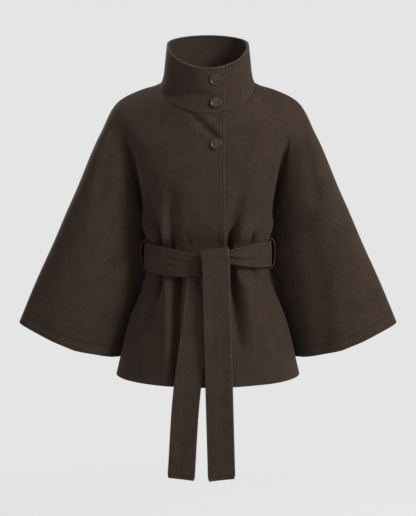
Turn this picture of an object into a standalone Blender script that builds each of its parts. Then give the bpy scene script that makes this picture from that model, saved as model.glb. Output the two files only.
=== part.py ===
"""A belted wool wrap jacket with cape sleeves, filled out as it is worn, with nobody inside.

Metres, +Z up, and the front faces -Y, so the wearer's right is at -X. The origin is at the base of the
neck, level with the tops of the shoulder seams, where a wearer's shoulders carry the jacket.
"""

import math
from collections import namedtuple

import bmesh
import bpy
import numpy as np
from mathutils import Matrix, Vector
from mathutils.bvhtree import BVHTree

# Cloth and seams
CLOTH = 0.0026  # coating wool, one layer
DOUBLE_CLOTH = 0.0050  # two layers and their interlining, in the collar and the belt
SEAM_HALF_GAP = 0.00022
UNDERARM_GAP = 3.0  # how much wider the gap is where the seams meet under the arm
UNDERARM_REACH = 0.035
COLLAR_SEAM_GAP = 0.0005
SHARP_ANGLE = math.radians(50)
FRONT_LAP = 0.037  # how far each front reaches past the centre line
LAP_RISE = 0.0017  # the upper front stands out, and the lower one in, by this much
LAP_SINK = 0.0035  # the lower front lies this much further in, away from the neckline
LAP_SINK_FADE = (0.066, 0.100)  # depths below the origin where the sinking starts and is full
LAP_FADE = (0.045, 0.110)  # distances from the centre line where the rise starts and has died out

# Columns of a half panel: the front or back of the body, the fold beside the arm, and the sleeve
BODY_COLUMNS = 16
BACK_COLUMNS = 14
INNER_SLEEVE_COLUMNS = 3
OUTER_SLEEVE_COLUMNS = 4
FOLD_ANGLE = math.radians(60)  # where the fold beside the arm starts on the yoke's ovals
FLANK_ANGLE = math.radians(3)  # from the fold to the columns beside it
CREST_ANGLE = math.radians(78)
INNER_SEAM_ANGLE = math.radians(12)  # from a sleeve's inner seam to the column beside it
FULLNESS = 0.86  # under 1 makes a section squarer than an ellipse, over 1 flatter
INNER_SLEEVE_FULLNESS = 1.08

# Ovals of the yoke, from the neckline to the tips of the shoulders
Oval = namedtuple("Oval", "name half_width front_y front_z edge_y edge_z back_y back_z")
YOKE = [
    Oval("neck", 0.105, -0.100, -0.062, 0.005, -0.002, 0.078, 0.014),
    Oval("yoke", 0.147, -0.112, -0.112, 0.005, -0.014, 0.096, -0.040),
    Oval("shoulder", 0.198, -0.118, -0.150, 0.005, -0.040, 0.110, -0.095),
]

# Sections from the chest to the underarm, where body and sleeve are one sheet with a fold between them
Middle = namedtuple("Middle", "name y z")
Crevice = namedtuple("Crevice", "x y z flank rise")  # the fold: its bottom, half its width and its depth
Arm = namedtuple("Arm", "crest_x crest_y crest_z edge_x edge_y edge_z")
FOLDED_FRONT = [
    (
        Middle("chest", -0.125, -0.205),
        Crevice(0.165, -0.030, -0.175, 0.008, 0.012),
        Arm(0.222, -0.057, -0.155, 0.240, 0.004, -0.113),
    ),
    (
        Middle("underarm", -0.124, -0.285),
        Crevice(0.150, 0.020, -0.285, 0.006, 0.016),
        Arm(0.252, -0.062, -0.272, 0.296, 0.002, -0.241),
    ),
]
FOLDED_BACK = [
    (
        Middle("chest", 0.119, -0.175),
        Crevice(0.165, 0.058, -0.170, 0.008, -0.008),
        Arm(0.222, 0.068, -0.153, 0.240, 0.004, -0.113),
    ),
    (
        Middle("underarm", 0.116, -0.285),
        Crevice(0.150, 0.020, -0.285, 0.006, -0.016),
        Arm(0.252, 0.078, -0.272, 0.296, 0.002, -0.241),
    ),
]

# Rings of the body below the underarm
Ring = namedtuple("Ring", "name half_width side_y front_y back_y z fullness")
BODY = [
    Ring("ribs", 0.145, -0.010, -0.119, 0.111, -0.318, 0.86),
    Ring("waist top", 0.135, -0.008, -0.104, 0.096, -0.350, 0.88),
    Ring("waist bottom", 0.136, -0.006, -0.105, 0.096, -0.419, 0.88),
    Ring("hip", 0.177, -0.002, -0.131, 0.124, -0.530, 0.96),
    Ring("hem", 0.208, 0.000, -0.152, 0.148, -0.656, 1.06),
]

# Rings of the sleeve below the underarm, from its inner seam over its crests to its outer seam
Cuff = namedtuple("Cuff", "name inner_x inner_y inner_z crest_x front_y back_y crest_z edge_x edge_y edge_z")
SLEEVE = [
    Cuff("upper arm", 0.1435, 0.046, -0.316, 0.258, -0.063, 0.084, -0.308, 0.316, 0.002, -0.285),
    Cuff("elbow", 0.130, 0.066, -0.385, 0.270, -0.062, 0.092, -0.378, 0.346, 0.001, -0.354),
    Cuff("forearm", 0.154, 0.070, -0.495, 0.288, -0.058, 0.094, -0.482, 0.388, 0.001, -0.445),
    Cuff("hem", 0.190, 0.076, -0.625, 0.300, -0.055, 0.098, -0.5925, 0.427, 0.002, -0.537),
]

# Rows of mesh in each stretch between neighbouring sections
YOKE_ROWS = (3, 3, 3, 3)
BODY_ROWS = (1, 2, 3, 4, 5)
SLEEVE_ROWS = (1, 2, 3, 3)

# Folds as troughs, or ridges where the depths are negative, from one point of the front view to another
Fold = namedtuple("Fold", "x0 z0 x1 z1 width0 width1 depth0 depth1 bow")
FRONT_FOLDS = [
    Fold(-0.139, -0.215, -0.106, -0.352, 0.014, 0.009, 0.001, 0.009, 0.000),
    Fold(-0.099, -0.236, -0.084, -0.352, 0.012, 0.010, -0.001, -0.005, 0.000),
    Fold(-0.083, -0.208, -0.067, -0.354, 0.013, 0.009, 0.001, 0.012, 0.000),
    Fold(0.079, -0.205, 0.048, -0.356, 0.012, 0.009, 0.002, 0.013, -0.004),
    Fold(0.096, -0.235, 0.074, -0.350, 0.016, 0.012, -0.001, -0.004, 0.000),
    Fold(0.111, -0.305, 0.100, -0.346, 0.010, 0.009, 0.002, 0.007, 0.000),
    Fold(-0.103, -0.410, -0.157, -0.545, 0.010, 0.016, 0.009, 0.003, 0.012),
    Fold(-0.088, -0.412, -0.092, -0.620, 0.013, 0.024, -0.004, -0.004, 0.000),
    Fold(-0.070, -0.410, -0.071, -0.690, 0.009, 0.013, 0.013, 0.009, 0.000),
    Fold(0.051, -0.402, 0.076, -0.580, 0.011, 0.018, 0.015, 0.004, -0.002),
    Fold(0.076, -0.560, 0.092, -0.690, 0.016, 0.020, 0.003, 0.006, 0.000),
    Fold(0.080, -0.410, 0.131, -0.560, 0.014, 0.022, -0.003, -0.004, 0.000),
    Fold(0.104, -0.405, 0.114, -0.465, 0.009, 0.012, 0.007, 0.001, 0.000),
    Fold(0.112, -0.540, 0.118, -0.690, 0.018, 0.020, 0.002, 0.006, 0.000),
    Fold(-0.050, -0.052, 0.018, -0.112, 0.010, 0.008, 0.001, 0.005, 0.000),
]
BACK_FOLDS = [
    Fold(-0.112, -0.225, -0.088, -0.352, 0.014, 0.010, 0.001, 0.009, 0.000),
    Fold(-0.050, -0.205, -0.040, -0.354, 0.015, 0.010, 0.001, 0.011, 0.002),
    Fold(-0.014, -0.262, -0.008, -0.352, 0.012, 0.011, -0.001, -0.004, 0.000),
    Fold(0.026, -0.240, 0.022, -0.354, 0.013, 0.010, 0.001, 0.009, 0.000),
    Fold(0.098, -0.195, 0.074, -0.352, 0.015, 0.010, 0.001, 0.011, -0.003),
    Fold(-0.098, -0.408, -0.140, -0.600, 0.011, 0.017, 0.010, 0.003, 0.006),
    Fold(-0.040, -0.408, -0.056, -0.690, 0.010, 0.016, 0.012, 0.008, 0.000),
    Fold(-0.008, -0.412, -0.012, -0.560, 0.012, 0.020, -0.003, -0.003, 0.000),
    Fold(0.020, -0.408, 0.026, -0.585, 0.010, 0.016, 0.011, 0.002, 0.000),
    Fold(0.072, -0.408, 0.104, -0.690, 0.011, 0.017, 0.013, 0.007, -0.004),
]
SLEEVE_FOLDS = [
    Fold(0.215, -0.080, 0.238, -0.260, 0.012, 0.014, 0.002, 0.004, 0.000),
    Fold(0.222, -0.300, 0.262, -0.640, 0.018, 0.026, 0.002, 0.006, 0.006),
    Fold(0.296, -0.330, 0.352, -0.600, 0.024, 0.030, -0.001, -0.005, 0.000),
]
FOLD_SHOULDER = 0.25  # share of a fold's depth by which the cloth beside it rises
FOLD_END = 0.020  # length over which each end of a fold dies away
FOLD_LEAST_WIDTH = 0.011  # narrower folds would fall between the columns
FOLD_SHOULDER_AT = 1.9  # where it rises most, in widths from the fold
BELT_ZONE = (-0.430, -0.338)  # heights between which the belt presses ridges flat
BELT_ZONE_EDGE = 0.012  # half the height over which that starts and ends
SEAM_FADE = 0.030  # folds die out this far before a seam

# Collar
COLLAR_RIM = Oval("rim", 0.0900, -0.088, 0.0365, 0.000, 0.089, 0.078, 0.1055)
COLLAR_ROWS = 6
COLLAR_COLUMNS = 46
COLLAR_LAP = (0.036, 0.043)  # reach of the upper end past the centre line, at the seam and at the rim
COLLAR_RISE = 0.0030
COLLAR_HOLLOW = 0.005  # how far the collar's profile bends in between its seam and its rim
COLLAR_FRONT_HOLLOW = 0.009  # the same at the front
COLLAR_HOLLOW_AT = 0.38  # where, as a share of its height
COLLAR_FADE = math.radians(55)  # angle from the front over which an end moves in or out to lie on the other

# Belt
BELT_GAP = 0.0014
BELT_WIDTH = 0.060
Station = namedtuple("Station", "turn z_top z_bottom off")
BELT = [  # turn is the angle round the waist from the front, towards +X
    Station(16, -0.3595, -0.3880, 0.0050),
    Station(40, -0.3495, -0.3985, 0.0022),
    Station(90, -0.3510, -0.4070, 0.0006),
    Station(180, -0.3530, -0.4130, 0.0000),
    Station(270, -0.3500, -0.4120, 0.0000),
    Station(320, -0.3560, -0.4175, 0.0015),
    Station(343, -0.3645, -0.4183, 0.0046),
    Station(354.5, -0.3705, -0.4160, 0.0052),
]
BELT_COLUMNS = (3, 7, 12, 12, 6, 2, 2)  # columns of mesh between neighbouring stations
BELT_ROWS = 3
TURN_STEP = 0.01  # small turn, for the waist's direction at a point
TAIL_COLUMNS = 3

# The tails hang along these lines of the side view, with their middles at x
Hang = namedtuple("Hang", "x y z")
OVER_TAIL = [
    Hang(0.0155, -0.1190, -0.3560),
    Hang(0.0150, -0.1240, -0.3515),
    Hang(0.0150, -0.1315, -0.3570),
    Hang(0.0170, -0.1355, -0.3800),
    Hang(0.0190, -0.1425, -0.4500),
    Hang(0.0220, -0.1580, -0.5600),
    Hang(0.0245, -0.1700, -0.6570),
    Hang(0.0300, -0.1725, -0.8570),
]
UNDER_TAIL = [
    Hang(-0.0150, -0.1140, -0.4186),
    Hang(-0.0165, -0.1168, -0.4320),
    Hang(-0.0200, -0.1245, -0.4600),
    Hang(-0.0320, -0.1425, -0.5600),
    Hang(-0.0445, -0.1580, -0.6520),
    Hang(-0.0590, -0.1595, -0.8590),
]
OVER_ROWS = 18
UNDER_ROWS = 14
TAIL_END_SLANT = 0.003
OVER_DROP = 0.0085  # how much lower the over tail starts at the wearer's right
OVER_DROP_REACH = 0.080
KNOT_CENTRE = (0.0165, -0.1240, -0.3815)
KNOT_SIZE = (0.046, 0.0065, 0.034)
KNOT_ROUNDING = 0.0026

# Belt loops, as a line of the front view at the side seam
Bow = namedtuple("Bow", "x z")
LOOP = [
    Bow(0.1395, -0.3440),
    Bow(0.1462, -0.3495),
    Bow(0.1502, -0.3650),
    Bow(0.1502, -0.3850),
    Bow(0.1472, -0.4055),
    Bow(0.1405, -0.4145),
]
LOOP_WIDTH = 0.007
LOOP_THICK = 0.0022
LOOP_Y = -0.007
LOOP_ROWS = 12
LOOP_DROP_RIGHT = 0.0030  # the belt lies this much lower at the wearer's right side

# Buttons
BUTTON_RADIUS = 0.0125
BUTTON_THICK = 0.0042
BUTTON_RIM = 0.0028  # from the edge to the foot of the rim's inner slope
BUTTON_CREST = 0.0017  # from the edge to the top of that slope
BUTTON_ROUNDING = 0.0013
BUTTON_DISH = 0.0010
BUTTON_HOLE_RADIUS = 0.0011
BUTTON_HOLE_PITCH = 0.0044
BUTTON_SIDES = 24
DRILL_SIDES = 8
BUTTON_SEAT = 0.95  # share of the radius at which a button's seat is felt for
BUTTON_FEELERS = 16
BUTTON_GAP = 0.0005
Button = namedtuple("Button", "name x z")
BUTTONS = [
    Button("button_top", 0.0151, 0.0110),
    Button("button_middle", 0.0162, -0.0390),
    Button("button_chest", 0.0172, -0.1265),
]

WOOL_COLOUR = (0.036, 0.026, 0.021, 1.0)
HORN_COLOUR = (0.055, 0.048, 0.040, 1.0)


def smooth(value, start, end):
    """0 before start, 1 after end, and an S between them."""
    t = np.clip((value - start) / (end - start), 0.0, 1.0)
    return t * t * (3 - 2 * t)


def through(points, parameters):
    """A smooth curve through rows of points, read at parameters that count the rows."""
    points = np.asarray(points, float)
    chord = np.linalg.norm(np.diff(points, axis=0), axis=-1)
    chord = np.maximum(chord, 1e-6)
    slope = np.diff(points, axis=0) / chord[..., None]
    tangent = np.empty_like(points)
    tangent[0], tangent[-1] = slope[0], slope[-1]
    weight = (chord[1:] / (chord[1:] + chord[:-1]))[..., None]
    tangent[1:-1] = weight * slope[:-1] + (1 - weight) * slope[1:]
    out = []
    for p in parameters:
        i = min(int(p), len(chord) - 1)
        t, h = p - i, chord[i][..., None]
        out.append(
            (2 * t**3 - 3 * t**2 + 1) * points[i]
            + (t**3 - 2 * t**2 + t) * h * tangent[i]
            + (3 * t**2 - 2 * t**3) * points[i + 1]
            + (t**3 - t**2) * h * tangent[i + 1]
        )
    return np.array(out)


def grid_quads(rows, columns):
    """Quads of a grid of points, counted row by row."""
    index = np.arange(rows * columns).reshape(rows, columns)
    corners = (index[:-1, :-1], index[:-1, 1:], index[1:, 1:], index[1:, :-1])
    return [tuple(int(k) for k in quad) for quad in np.stack(corners, axis=-1).reshape(-1, 4)]


def row_parameters(rows):
    """Where the mesh rows lie, counted in sections, for so many rows in each stretch."""
    steps = [i + k / count for i, count in enumerate(rows) for k in range(count)]
    return steps + [float(len(rows))]


def oval_points(oval, angles, back=False):
    """Points of half an oval, by the angle from its front or back to its edge at +X."""
    middle_y, middle_z = (oval.back_y, oval.back_z) if back else (oval.front_y, oval.front_z)
    c = np.abs(np.cos(angles))
    return np.stack(
        [
            oval.half_width * np.sin(angles),
            oval.edge_y + (middle_y - oval.edge_y) * c**FULLNESS,
            oval.edge_z + (middle_z - oval.edge_z) * c,
        ],
        axis=1,
    )


def body_arc(middle, side, angles, fullness):
    """A quarter of a rounded section from the middle (y, z) to the side (x, y, z)."""
    s, c = np.sin(angles), np.abs(np.cos(angles))
    return np.stack(
        [
            side[0] * s,
            side[1] + (middle[0] - side[1]) * c**fullness,
            middle[1] + (side[2] - middle[1]) * s**2,
        ],
        axis=1,
    )


def sleeve_points(inner, crest, edge, turns):
    """Points of half a sleeve's section, by turns: 0 at its inner side, 1 at its crest and 2 at its edge."""
    a = np.minimum(turns, 1) * math.pi / 2
    b = np.maximum(turns - 1, 0) * math.pi / 2
    run = 1 - np.abs(np.cos(a)) ** INNER_SLEEVE_FULLNESS
    over = np.sin(a) ** INNER_SLEEVE_FULLNESS
    inside = inner + (np.array(crest) - inner) * np.stack([run, over, run], axis=1)
    out, down = np.sin(b), 1 - np.abs(np.cos(b)) ** FULLNESS
    outside = np.array(crest) + (np.array(edge) - crest) * np.stack([out, down, out], axis=1)
    return np.where((turns <= 1)[:, None], inside, outside)


class HalfPanel:
    """A quarter of the jacket: half its front or back, with half a sleeve cut in one with it.

    Column 0 is at the centre, column `fold` runs down the fold beside the arm and on down the side
    seam, and the last column is the shoulder and overarm seam. Below the underarm the sleeve's columns
    go on by themselves, from a seam of their own.
    """

    def __init__(self, back, lap):
        self.back, self.lap = back, lap
        self.columns = BACK_COLUMNS if back else BODY_COLUMNS
        self.fold = self.columns + 1
        self.split = sum(YOKE_ROWS)
        self.body = self.body_grid()
        self.sleeve = self.sleeve_grid()

    def first_angle(self, half_width):
        """The angle of the first column, at the edge of the lap or at the centre back."""
        return -math.asin(self.lap / half_width)

    def folded_section(self, middle, crevice, arm):
        """A section from the centre through the fold beside the arm to the overarm seam."""
        fold = np.array([crevice.x, crevice.y, crevice.z])
        near = fold - [crevice.flank, crevice.rise, 0]
        far = fold + [crevice.flank, -crevice.rise, 0]
        angles = np.linspace(self.first_angle(near[0]), math.pi / 2, self.columns + 1)
        body = body_arc((middle.y, middle.z), near, angles, FULLNESS)
        turns = np.concatenate(
            [np.linspace(0, 1, INNER_SLEEVE_COLUMNS + 1), np.linspace(1, 2, OUTER_SLEEVE_COLUMNS + 1)[1:]]
        )
        crest = (arm.crest_x, arm.crest_y, arm.crest_z)
        sleeve = sleeve_points(far, crest, (arm.edge_x, arm.edge_y, arm.edge_z), turns)
        return np.concatenate([body, [fold], sleeve])

    def upper_sections(self):
        """The sections from the neckline to the underarm, over all the columns."""
        inner = np.linspace(FOLD_ANGLE + FLANK_ANGLE, CREST_ANGLE, INNER_SLEEVE_COLUMNS + 1)
        outer = np.linspace(CREST_ANGLE, math.pi / 2, OUTER_SLEEVE_COLUMNS + 1)[1:]
        sections = []
        for oval in YOKE:
            first = self.first_angle(oval.half_width)
            body = np.linspace(first, FOLD_ANGLE - FLANK_ANGLE, self.columns + 1)
            sections.append(oval_points(oval, np.concatenate([body, [FOLD_ANGLE], inner, outer]), self.back))
        rows = FOLDED_BACK if self.back else FOLDED_FRONT
        return sections + [self.folded_section(*row) for row in rows]

    def body_grid(self):
        """Points of the body's rows, over the columns up to the fold or side seam."""
        sections = [section[: self.fold + 1] for section in self.upper_sections()]
        for ring in BODY:
            angles = np.linspace(self.first_angle(ring.half_width), math.pi / 2, self.fold + 1)
            middle = (ring.back_y if self.back else ring.front_y, ring.z)
            sections.append(body_arc(middle, (ring.half_width, ring.side_y, ring.z), angles, ring.fullness))
        return through(sections, row_parameters(YOKE_ROWS + BODY_ROWS))

    def sleeve_grid(self):
        """Points of the sleeve's rows, over the columns from the fold or inner seam outwards."""
        sections = [section[self.fold :] for section in self.upper_sections()]
        start = INNER_SEAM_ANGLE / (math.pi / 2)
        inner_turns = np.linspace(start, 1, INNER_SLEEVE_COLUMNS + 1)
        turns = np.concatenate([[0.0], inner_turns, np.linspace(1, 2, OUTER_SLEEVE_COLUMNS + 1)[1:]])
        for ring in SLEEVE:
            inner = np.array([ring.inner_x, ring.inner_y, ring.inner_z])
            crest = (ring.crest_x, ring.back_y if self.back else ring.front_y, ring.crest_z)
            sections.append(sleeve_points(inner, crest, (ring.edge_x, ring.edge_y, ring.edge_z), turns))
        grid = through(sections, row_parameters(YOKE_ROWS + SLEEVE_ROWS))
        grid[: self.split + 1, 0] = self.body[: self.split + 1, self.fold]
        return grid

    def mesh(self, side):
        """Points and quads of this half on one side of the jacket, facing out."""
        rows, last = self.body.shape[0], self.fold
        mirror = np.array([side, 1, 1])
        points = list(self.body.reshape(-1, 3) * mirror)
        body_index = np.arange(rows * (last + 1)).reshape(rows, last + 1)
        count, width = self.sleeve.shape[:2]
        sleeve_index = np.empty((count, width), int)
        for i in range(count):
            for j in range(width):
                if j == 0 and i <= self.split:
                    sleeve_index[i, j] = body_index[i, last]
                else:
                    sleeve_index[i, j] = len(points)
                    points.append(self.sleeve[i, j] * mirror)
        quads = []
        for index in (body_index, sleeve_index):
            quads += [
                (index[i, j], index[i, j + 1], index[i + 1, j + 1], index[i + 1, j])
                for i in range(index.shape[0] - 1)
                for j in range(index.shape[1] - 1)
            ]
        if (side > 0) != self.back:
            quads = [quad[::-1] for quad in quads]
        return np.array(points), quads, body_index, sleeve_index


def normals_of(points, quads):
    """Smooth outward normals at the points, with points at one place sharing theirs."""
    places, index = np.unique(np.round(points, 6), axis=0, return_inverse=True)
    index = index.reshape(-1)
    total = np.zeros_like(places)
    for quad in quads:
        a, b, c, d = (points[k] for k in quad)
        facing = np.cross(c - a, d - b)
        for k in quad:
            total[index[k]] += facing
    total /= np.maximum(np.linalg.norm(total, axis=1, keepdims=True), 1e-12)
    return total[index]


def fold_depths(points, folds):
    """How far in the folds of a table press each point, by its place in the front view."""
    total = np.zeros(len(points))
    for fold in folds:
        start, end = np.array([fold.x0, fold.z0]), np.array([fold.x1, fold.z1])
        length = np.linalg.norm(end - start)
        along = (end - start) / length
        offset = points[:, [0, 2]] - start
        t = np.clip(offset @ along / length, 0, 1)
        across = offset[:, 1] * along[0] - offset[:, 0] * along[1] - fold.bow * 4 * t * (1 - t)
        past = np.abs(offset @ along - length / 2) - length / 2
        width = np.maximum(fold.width0 + (fold.width1 - fold.width0) * t, FOLD_LEAST_WIDTH)
        depth = (fold.depth0 + (fold.depth1 - fold.depth0) * t) * (1 - smooth(past, -FOLD_END, FOLD_END))
        ratio = np.abs(across) / width
        shoulder = FOLD_SHOULDER * np.exp(-((ratio - FOLD_SHOULDER_AT) ** 2))
        total += depth * (np.exp(-(ratio**2)) - shoulder)
    return total


def under_belt(z):
    """1 where the belt presses the cloth flat and 0 elsewhere."""
    low, high = BELT_ZONE
    above = smooth(z, low - BELT_ZONE_EDGE, low + BELT_ZONE_EDGE)
    return above * (1 - smooth(z, high - BELT_ZONE_EDGE, high + BELT_ZONE_EDGE))


def seam_fade(points, body_index, sleeve_index):
    """0 at the side, sleeve and shoulder seams, and 1 from SEAM_FADE away."""
    fade = np.ones(len(points))
    for index, ends in ((body_index, (-1,)), (sleeve_index, (0, -1))):
        for row in index:
            for end in ends:
                away = np.linalg.norm(points[row] - points[row[end]], axis=1)
                fade[row] = np.minimum(fade[row], smooth(away, 0.0, SEAM_FADE))
    return fade


def lap_rise(points, side, over):
    """How far a front stands out where it laps the other, or in where it is lapped."""
    share = 1 - smooth(points[:, 0] * side, *LAP_FADE)
    sink = LAP_RISE + LAP_SINK * smooth(-points[:, 2], *LAP_SINK_FADE)
    return LAP_RISE * share if over else -sink * share


def folded_half(half, side, folds, over=None):
    """A half panel's points with folds and lap, its quads, and its seams with the columns beside them."""
    points, quads, body_index, sleeve_index = half.mesh(side)
    normals = normals_of(points, quads)
    sleeve_folds = [fold._replace(x0=fold.x0 * side, x1=fold.x1 * side) for fold in SLEEVE_FOLDS]
    depth = fold_depths(points, folds)
    depth = np.where(depth < 0, depth * (1 - under_belt(points[:, 2])), depth)
    in_sleeve = np.zeros(len(points), bool)
    in_sleeve[sleeve_index[:, 2:].ravel()] = True
    depth = np.where(in_sleeve, fold_depths(points, sleeve_folds), depth)
    depth *= seam_fade(points, body_index, sleeve_index)
    points = points - normals * depth[:, None]
    if over is not None:
        points = points + normals * lap_rise(points, side, over)[:, None]
    seams = [
        (body_index[half.split :, -1], body_index[half.split :, -2]),
        (sleeve_index[half.split :, 0], sleeve_index[half.split :, 1]),
        (sleeve_index[:, -1], sleeve_index[:, -2]),
    ]
    return points, quads, seams


def seam_shift(points, normals, seams):
    """How far each point on a seam draws back into its own piece, to leave the gap of the seam."""
    shift = np.zeros_like(points)
    for line, beside in seams:
        inward = points[beside] - points[line]
        along = np.gradient(points[line], axis=0)
        along /= np.linalg.norm(along, axis=1, keepdims=True)
        for other in (along, normals[line]):
            inward = inward - other * (inward * other).sum(axis=1, keepdims=True)
        inward /= np.linalg.norm(inward, axis=1, keepdims=True)
        away = np.linalg.norm(points[line] - points[seams[0][0][0]], axis=1)
        gap = SEAM_HALF_GAP * (UNDERARM_GAP - (UNDERARM_GAP - 1) * smooth(away, 0.0, UNDERARM_REACH))
        shift[line] += gap[:, None] * inward
    return shift


def wall(name, points, quads, normals, thickness, material, collection):
    """A wall of cloth: the points outside, and inside them the same sheet, closed at its edges."""
    count = len(points)
    inner = points - normals * thickness
    used = {}
    for quad in quads:
        for a, b in zip(quad, quad[1:] + quad[:1]):
            used[(a, b)] = True
    rim = [(b, a, a + count, b + count) for a, b in used if (b, a) not in used]
    faces = list(quads) + [tuple(k + count for k in reversed(quad)) for quad in quads] + rim
    mesh = bpy.data.meshes.new(name)
    mesh.from_pydata(np.concatenate([points, inner]).tolist(), [], [[int(k) for k in f] for f in faces])
    mesh.materials.append(material)
    mesh.shade_smooth()
    mesh.set_sharp_from_angle(angle=SHARP_ANGLE)
    item = bpy.data.objects.new(name, mesh)
    collection.objects.link(item)
    return item


def make_panels(wool, collection):
    """The two fronts and the back, each with its sleeves cut in one with it."""
    front, back = HalfPanel(False, FRONT_LAP), HalfPanel(True, 0.0)
    parts = [
        folded_half(front, -1, FRONT_FOLDS, over=True),
        folded_half(front, 1, FRONT_FOLDS, over=False),
        folded_half(back, -1, BACK_FOLDS),
        folded_half(back, 1, BACK_FOLDS),
    ]
    starts = np.cumsum([0] + [len(points) for points, _, _ in parts])
    points = np.concatenate([points for points, _, _ in parts])
    quads = [tuple(int(k) + start for k in quad) for start, part in zip(starts, parts) for quad in part[1]]
    normals = normals_of(points, quads)
    for start, part in zip(starts, parts):
        overarm = part[2][2][0] + start
        normals[overarm, 1] = 0
        normals[overarm] /= np.linalg.norm(normals[overarm], axis=1, keepdims=True)
    made = {}
    for name, members in (("front_right", [0]), ("front_left", [1]), ("back", [2, 3])):
        place, faces, facing = [], [], []
        for k in members:
            start = sum(len(p) for p in place)
            own = slice(starts[k], starts[k + 1])
            place.append(points[own] + seam_shift(points[own], normals[own], parts[k][2]))
            facing.append(normals[own])
            faces += [tuple(int(i) + start for i in quad) for quad in parts[k][1]]
        place, facing = np.concatenate(place), np.concatenate(facing)
        _, first, index = np.unique(np.round(place, 6), axis=0, return_index=True, return_inverse=True)
        faces = [tuple(int(index.reshape(-1)[k]) for k in quad) for quad in faces]
        made[name] = wall(name, place[first], faces, facing[first], CLOTH, wool, collection)
    return made


def make_collar(wool, collection):
    """The funnel collar: one band of double cloth round the neckline, its ends lapped at the front."""
    neck = YOKE[0]
    grid = []
    for v in np.linspace(0, 1, COLLAR_ROWS + 1):
        oval = Oval("level", *(a + (b - a) * v for a, b in zip(neck[1:], COLLAR_RIM[1:])))
        reach = COLLAR_LAP[0] + (COLLAR_LAP[1] - COLLAR_LAP[0]) * v
        end = math.asin(reach / oval.half_width)
        turn = np.linspace(-end, 2 * math.pi + end, COLLAR_COLUMNS + 1)
        folded = np.where(np.abs(turn - math.pi) > math.pi / 2, turn, math.pi - turn)
        points = np.where(
            (np.abs(turn - math.pi) > math.pi / 2)[:, None],
            oval_points(oval, folded),
            oval_points(oval, folded, back=True),
        )
        on_lap = np.where(turn > math.pi / 2, 1 - smooth(-points[:, 0], *LAP_FADE), 0.0)
        on_lap = np.where(points[:, 1] < oval.edge_y, on_lap, 0.0)
        points[:, 2] += (COLLAR_SEAM_GAP + LAP_RISE * on_lap) * (1 - v)
        frontness = np.where(np.cos(turn) > 0, np.cos(turn) ** 2, 0.0)
        hollow = COLLAR_HOLLOW + (COLLAR_FRONT_HOLLOW - COLLAR_HOLLOW) * frontness
        hollow = hollow * (v / COLLAR_HOLLOW_AT) * np.exp(1 - v / COLLAR_HOLLOW_AT) * (1 - v)
        lower = 1 - smooth(turn, end, COLLAR_FADE)
        upper = smooth(turn, 2 * math.pi - COLLAR_FADE, 2 * math.pi - end)
        centre = np.array([0, (oval.front_y + oval.back_y) / 2, 0])
        outward = (points - centre) * [1, 1, 0]
        outward /= np.linalg.norm(outward, axis=1, keepdims=True)
        grid.append(points + outward * (COLLAR_RISE * (upper - lower) - hollow)[:, None])
    grid = np.array(grid)
    points, quads = grid.reshape(-1, 3), grid_quads(*grid.shape[:2])
    return wall("collar", points, quads, normals_of(points, quads), DOUBLE_CLOTH, wool, collection)


def waist_point(turn, z):
    """A point of the waist's plain section at a height, by the angle from the front towards +X."""
    top, bottom = BODY[1], BODY[2]
    t = (z - top.z) / (bottom.z - top.z)
    ring = Ring("waist", *(a + (b - a) * t for a, b in zip(top[1:], bottom[1:])))
    middle = ring.front_y if math.cos(turn) > 0 else ring.back_y
    angle = math.asin(max(-1.0, min(1.0, math.sin(turn))))
    side = (ring.half_width, ring.side_y, z)
    point = body_arc((middle, z), side, np.array([abs(angle)]), ring.fullness)[0]
    return point * [1 if angle >= 0 else -1, 1, 1]


def make_belt(wool, collection):
    """The belt's band, from the knot round the back to the knot again."""
    rows = [[math.radians(s.turn), s.z_top, s.z_bottom, s.off] for s in BELT]
    grid = []
    for turn, z_top, z_bottom, off in through(rows, row_parameters(BELT_COLUMNS)):
        column = []
        for v in np.linspace(0, 1, BELT_ROWS + 1):
            z = z_top + (z_bottom - z_top) * v
            point = waist_point(turn, z)
            along = waist_point(turn + TURN_STEP, z) - waist_point(turn - TURN_STEP, z)
            outward = np.array([along[1], -along[0], 0])
            outward /= np.linalg.norm(outward)
            column.append(point + outward * (BELT_GAP + DOUBLE_CLOTH + off))
        grid.append(column)
    grid = np.array(grid)
    points, quads = grid.reshape(-1, 3), grid_quads(*grid.shape[:2])
    wall("belt_band", points, quads, normals_of(points, quads), DOUBLE_CLOTH, wool, collection)


def strip(route, rows, width, across, slant=0.0, drop=0.0):
    """Points and quads of a flat strip along a smooth route, cut on a slant and starting on a drop at -X."""
    line = through([tuple(p) for p in route], np.linspace(0, len(route) - 1, rows + 1))
    steps = np.linspace(-0.5, 0.5, TAIL_COLUMNS + 1)
    grid = line[:, None, :] + steps[None, :, None] * width * np.array(across, float)
    grid[-1, :, 2] += slant * steps * 2
    run = np.concatenate([[0.0], np.cumsum(np.linalg.norm(np.diff(line, axis=0), axis=1))])
    grid[:, :, 2] -= drop * (0.5 - steps) * (1 - smooth(run, 0.0, OVER_DROP_REACH))[:, None]
    return grid.reshape(-1, 3), [quad[::-1] for quad in grid_quads(*grid.shape[:2])]


def double_wall(name, sheet, thickness, material, collection):
    """A wall with half its thickness on each side of a sheet of points and quads."""
    points, quads = sheet
    normals = normals_of(points, quads)
    return wall(name, points + normals * thickness / 2, quads, normals, thickness, material, collection)


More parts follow.
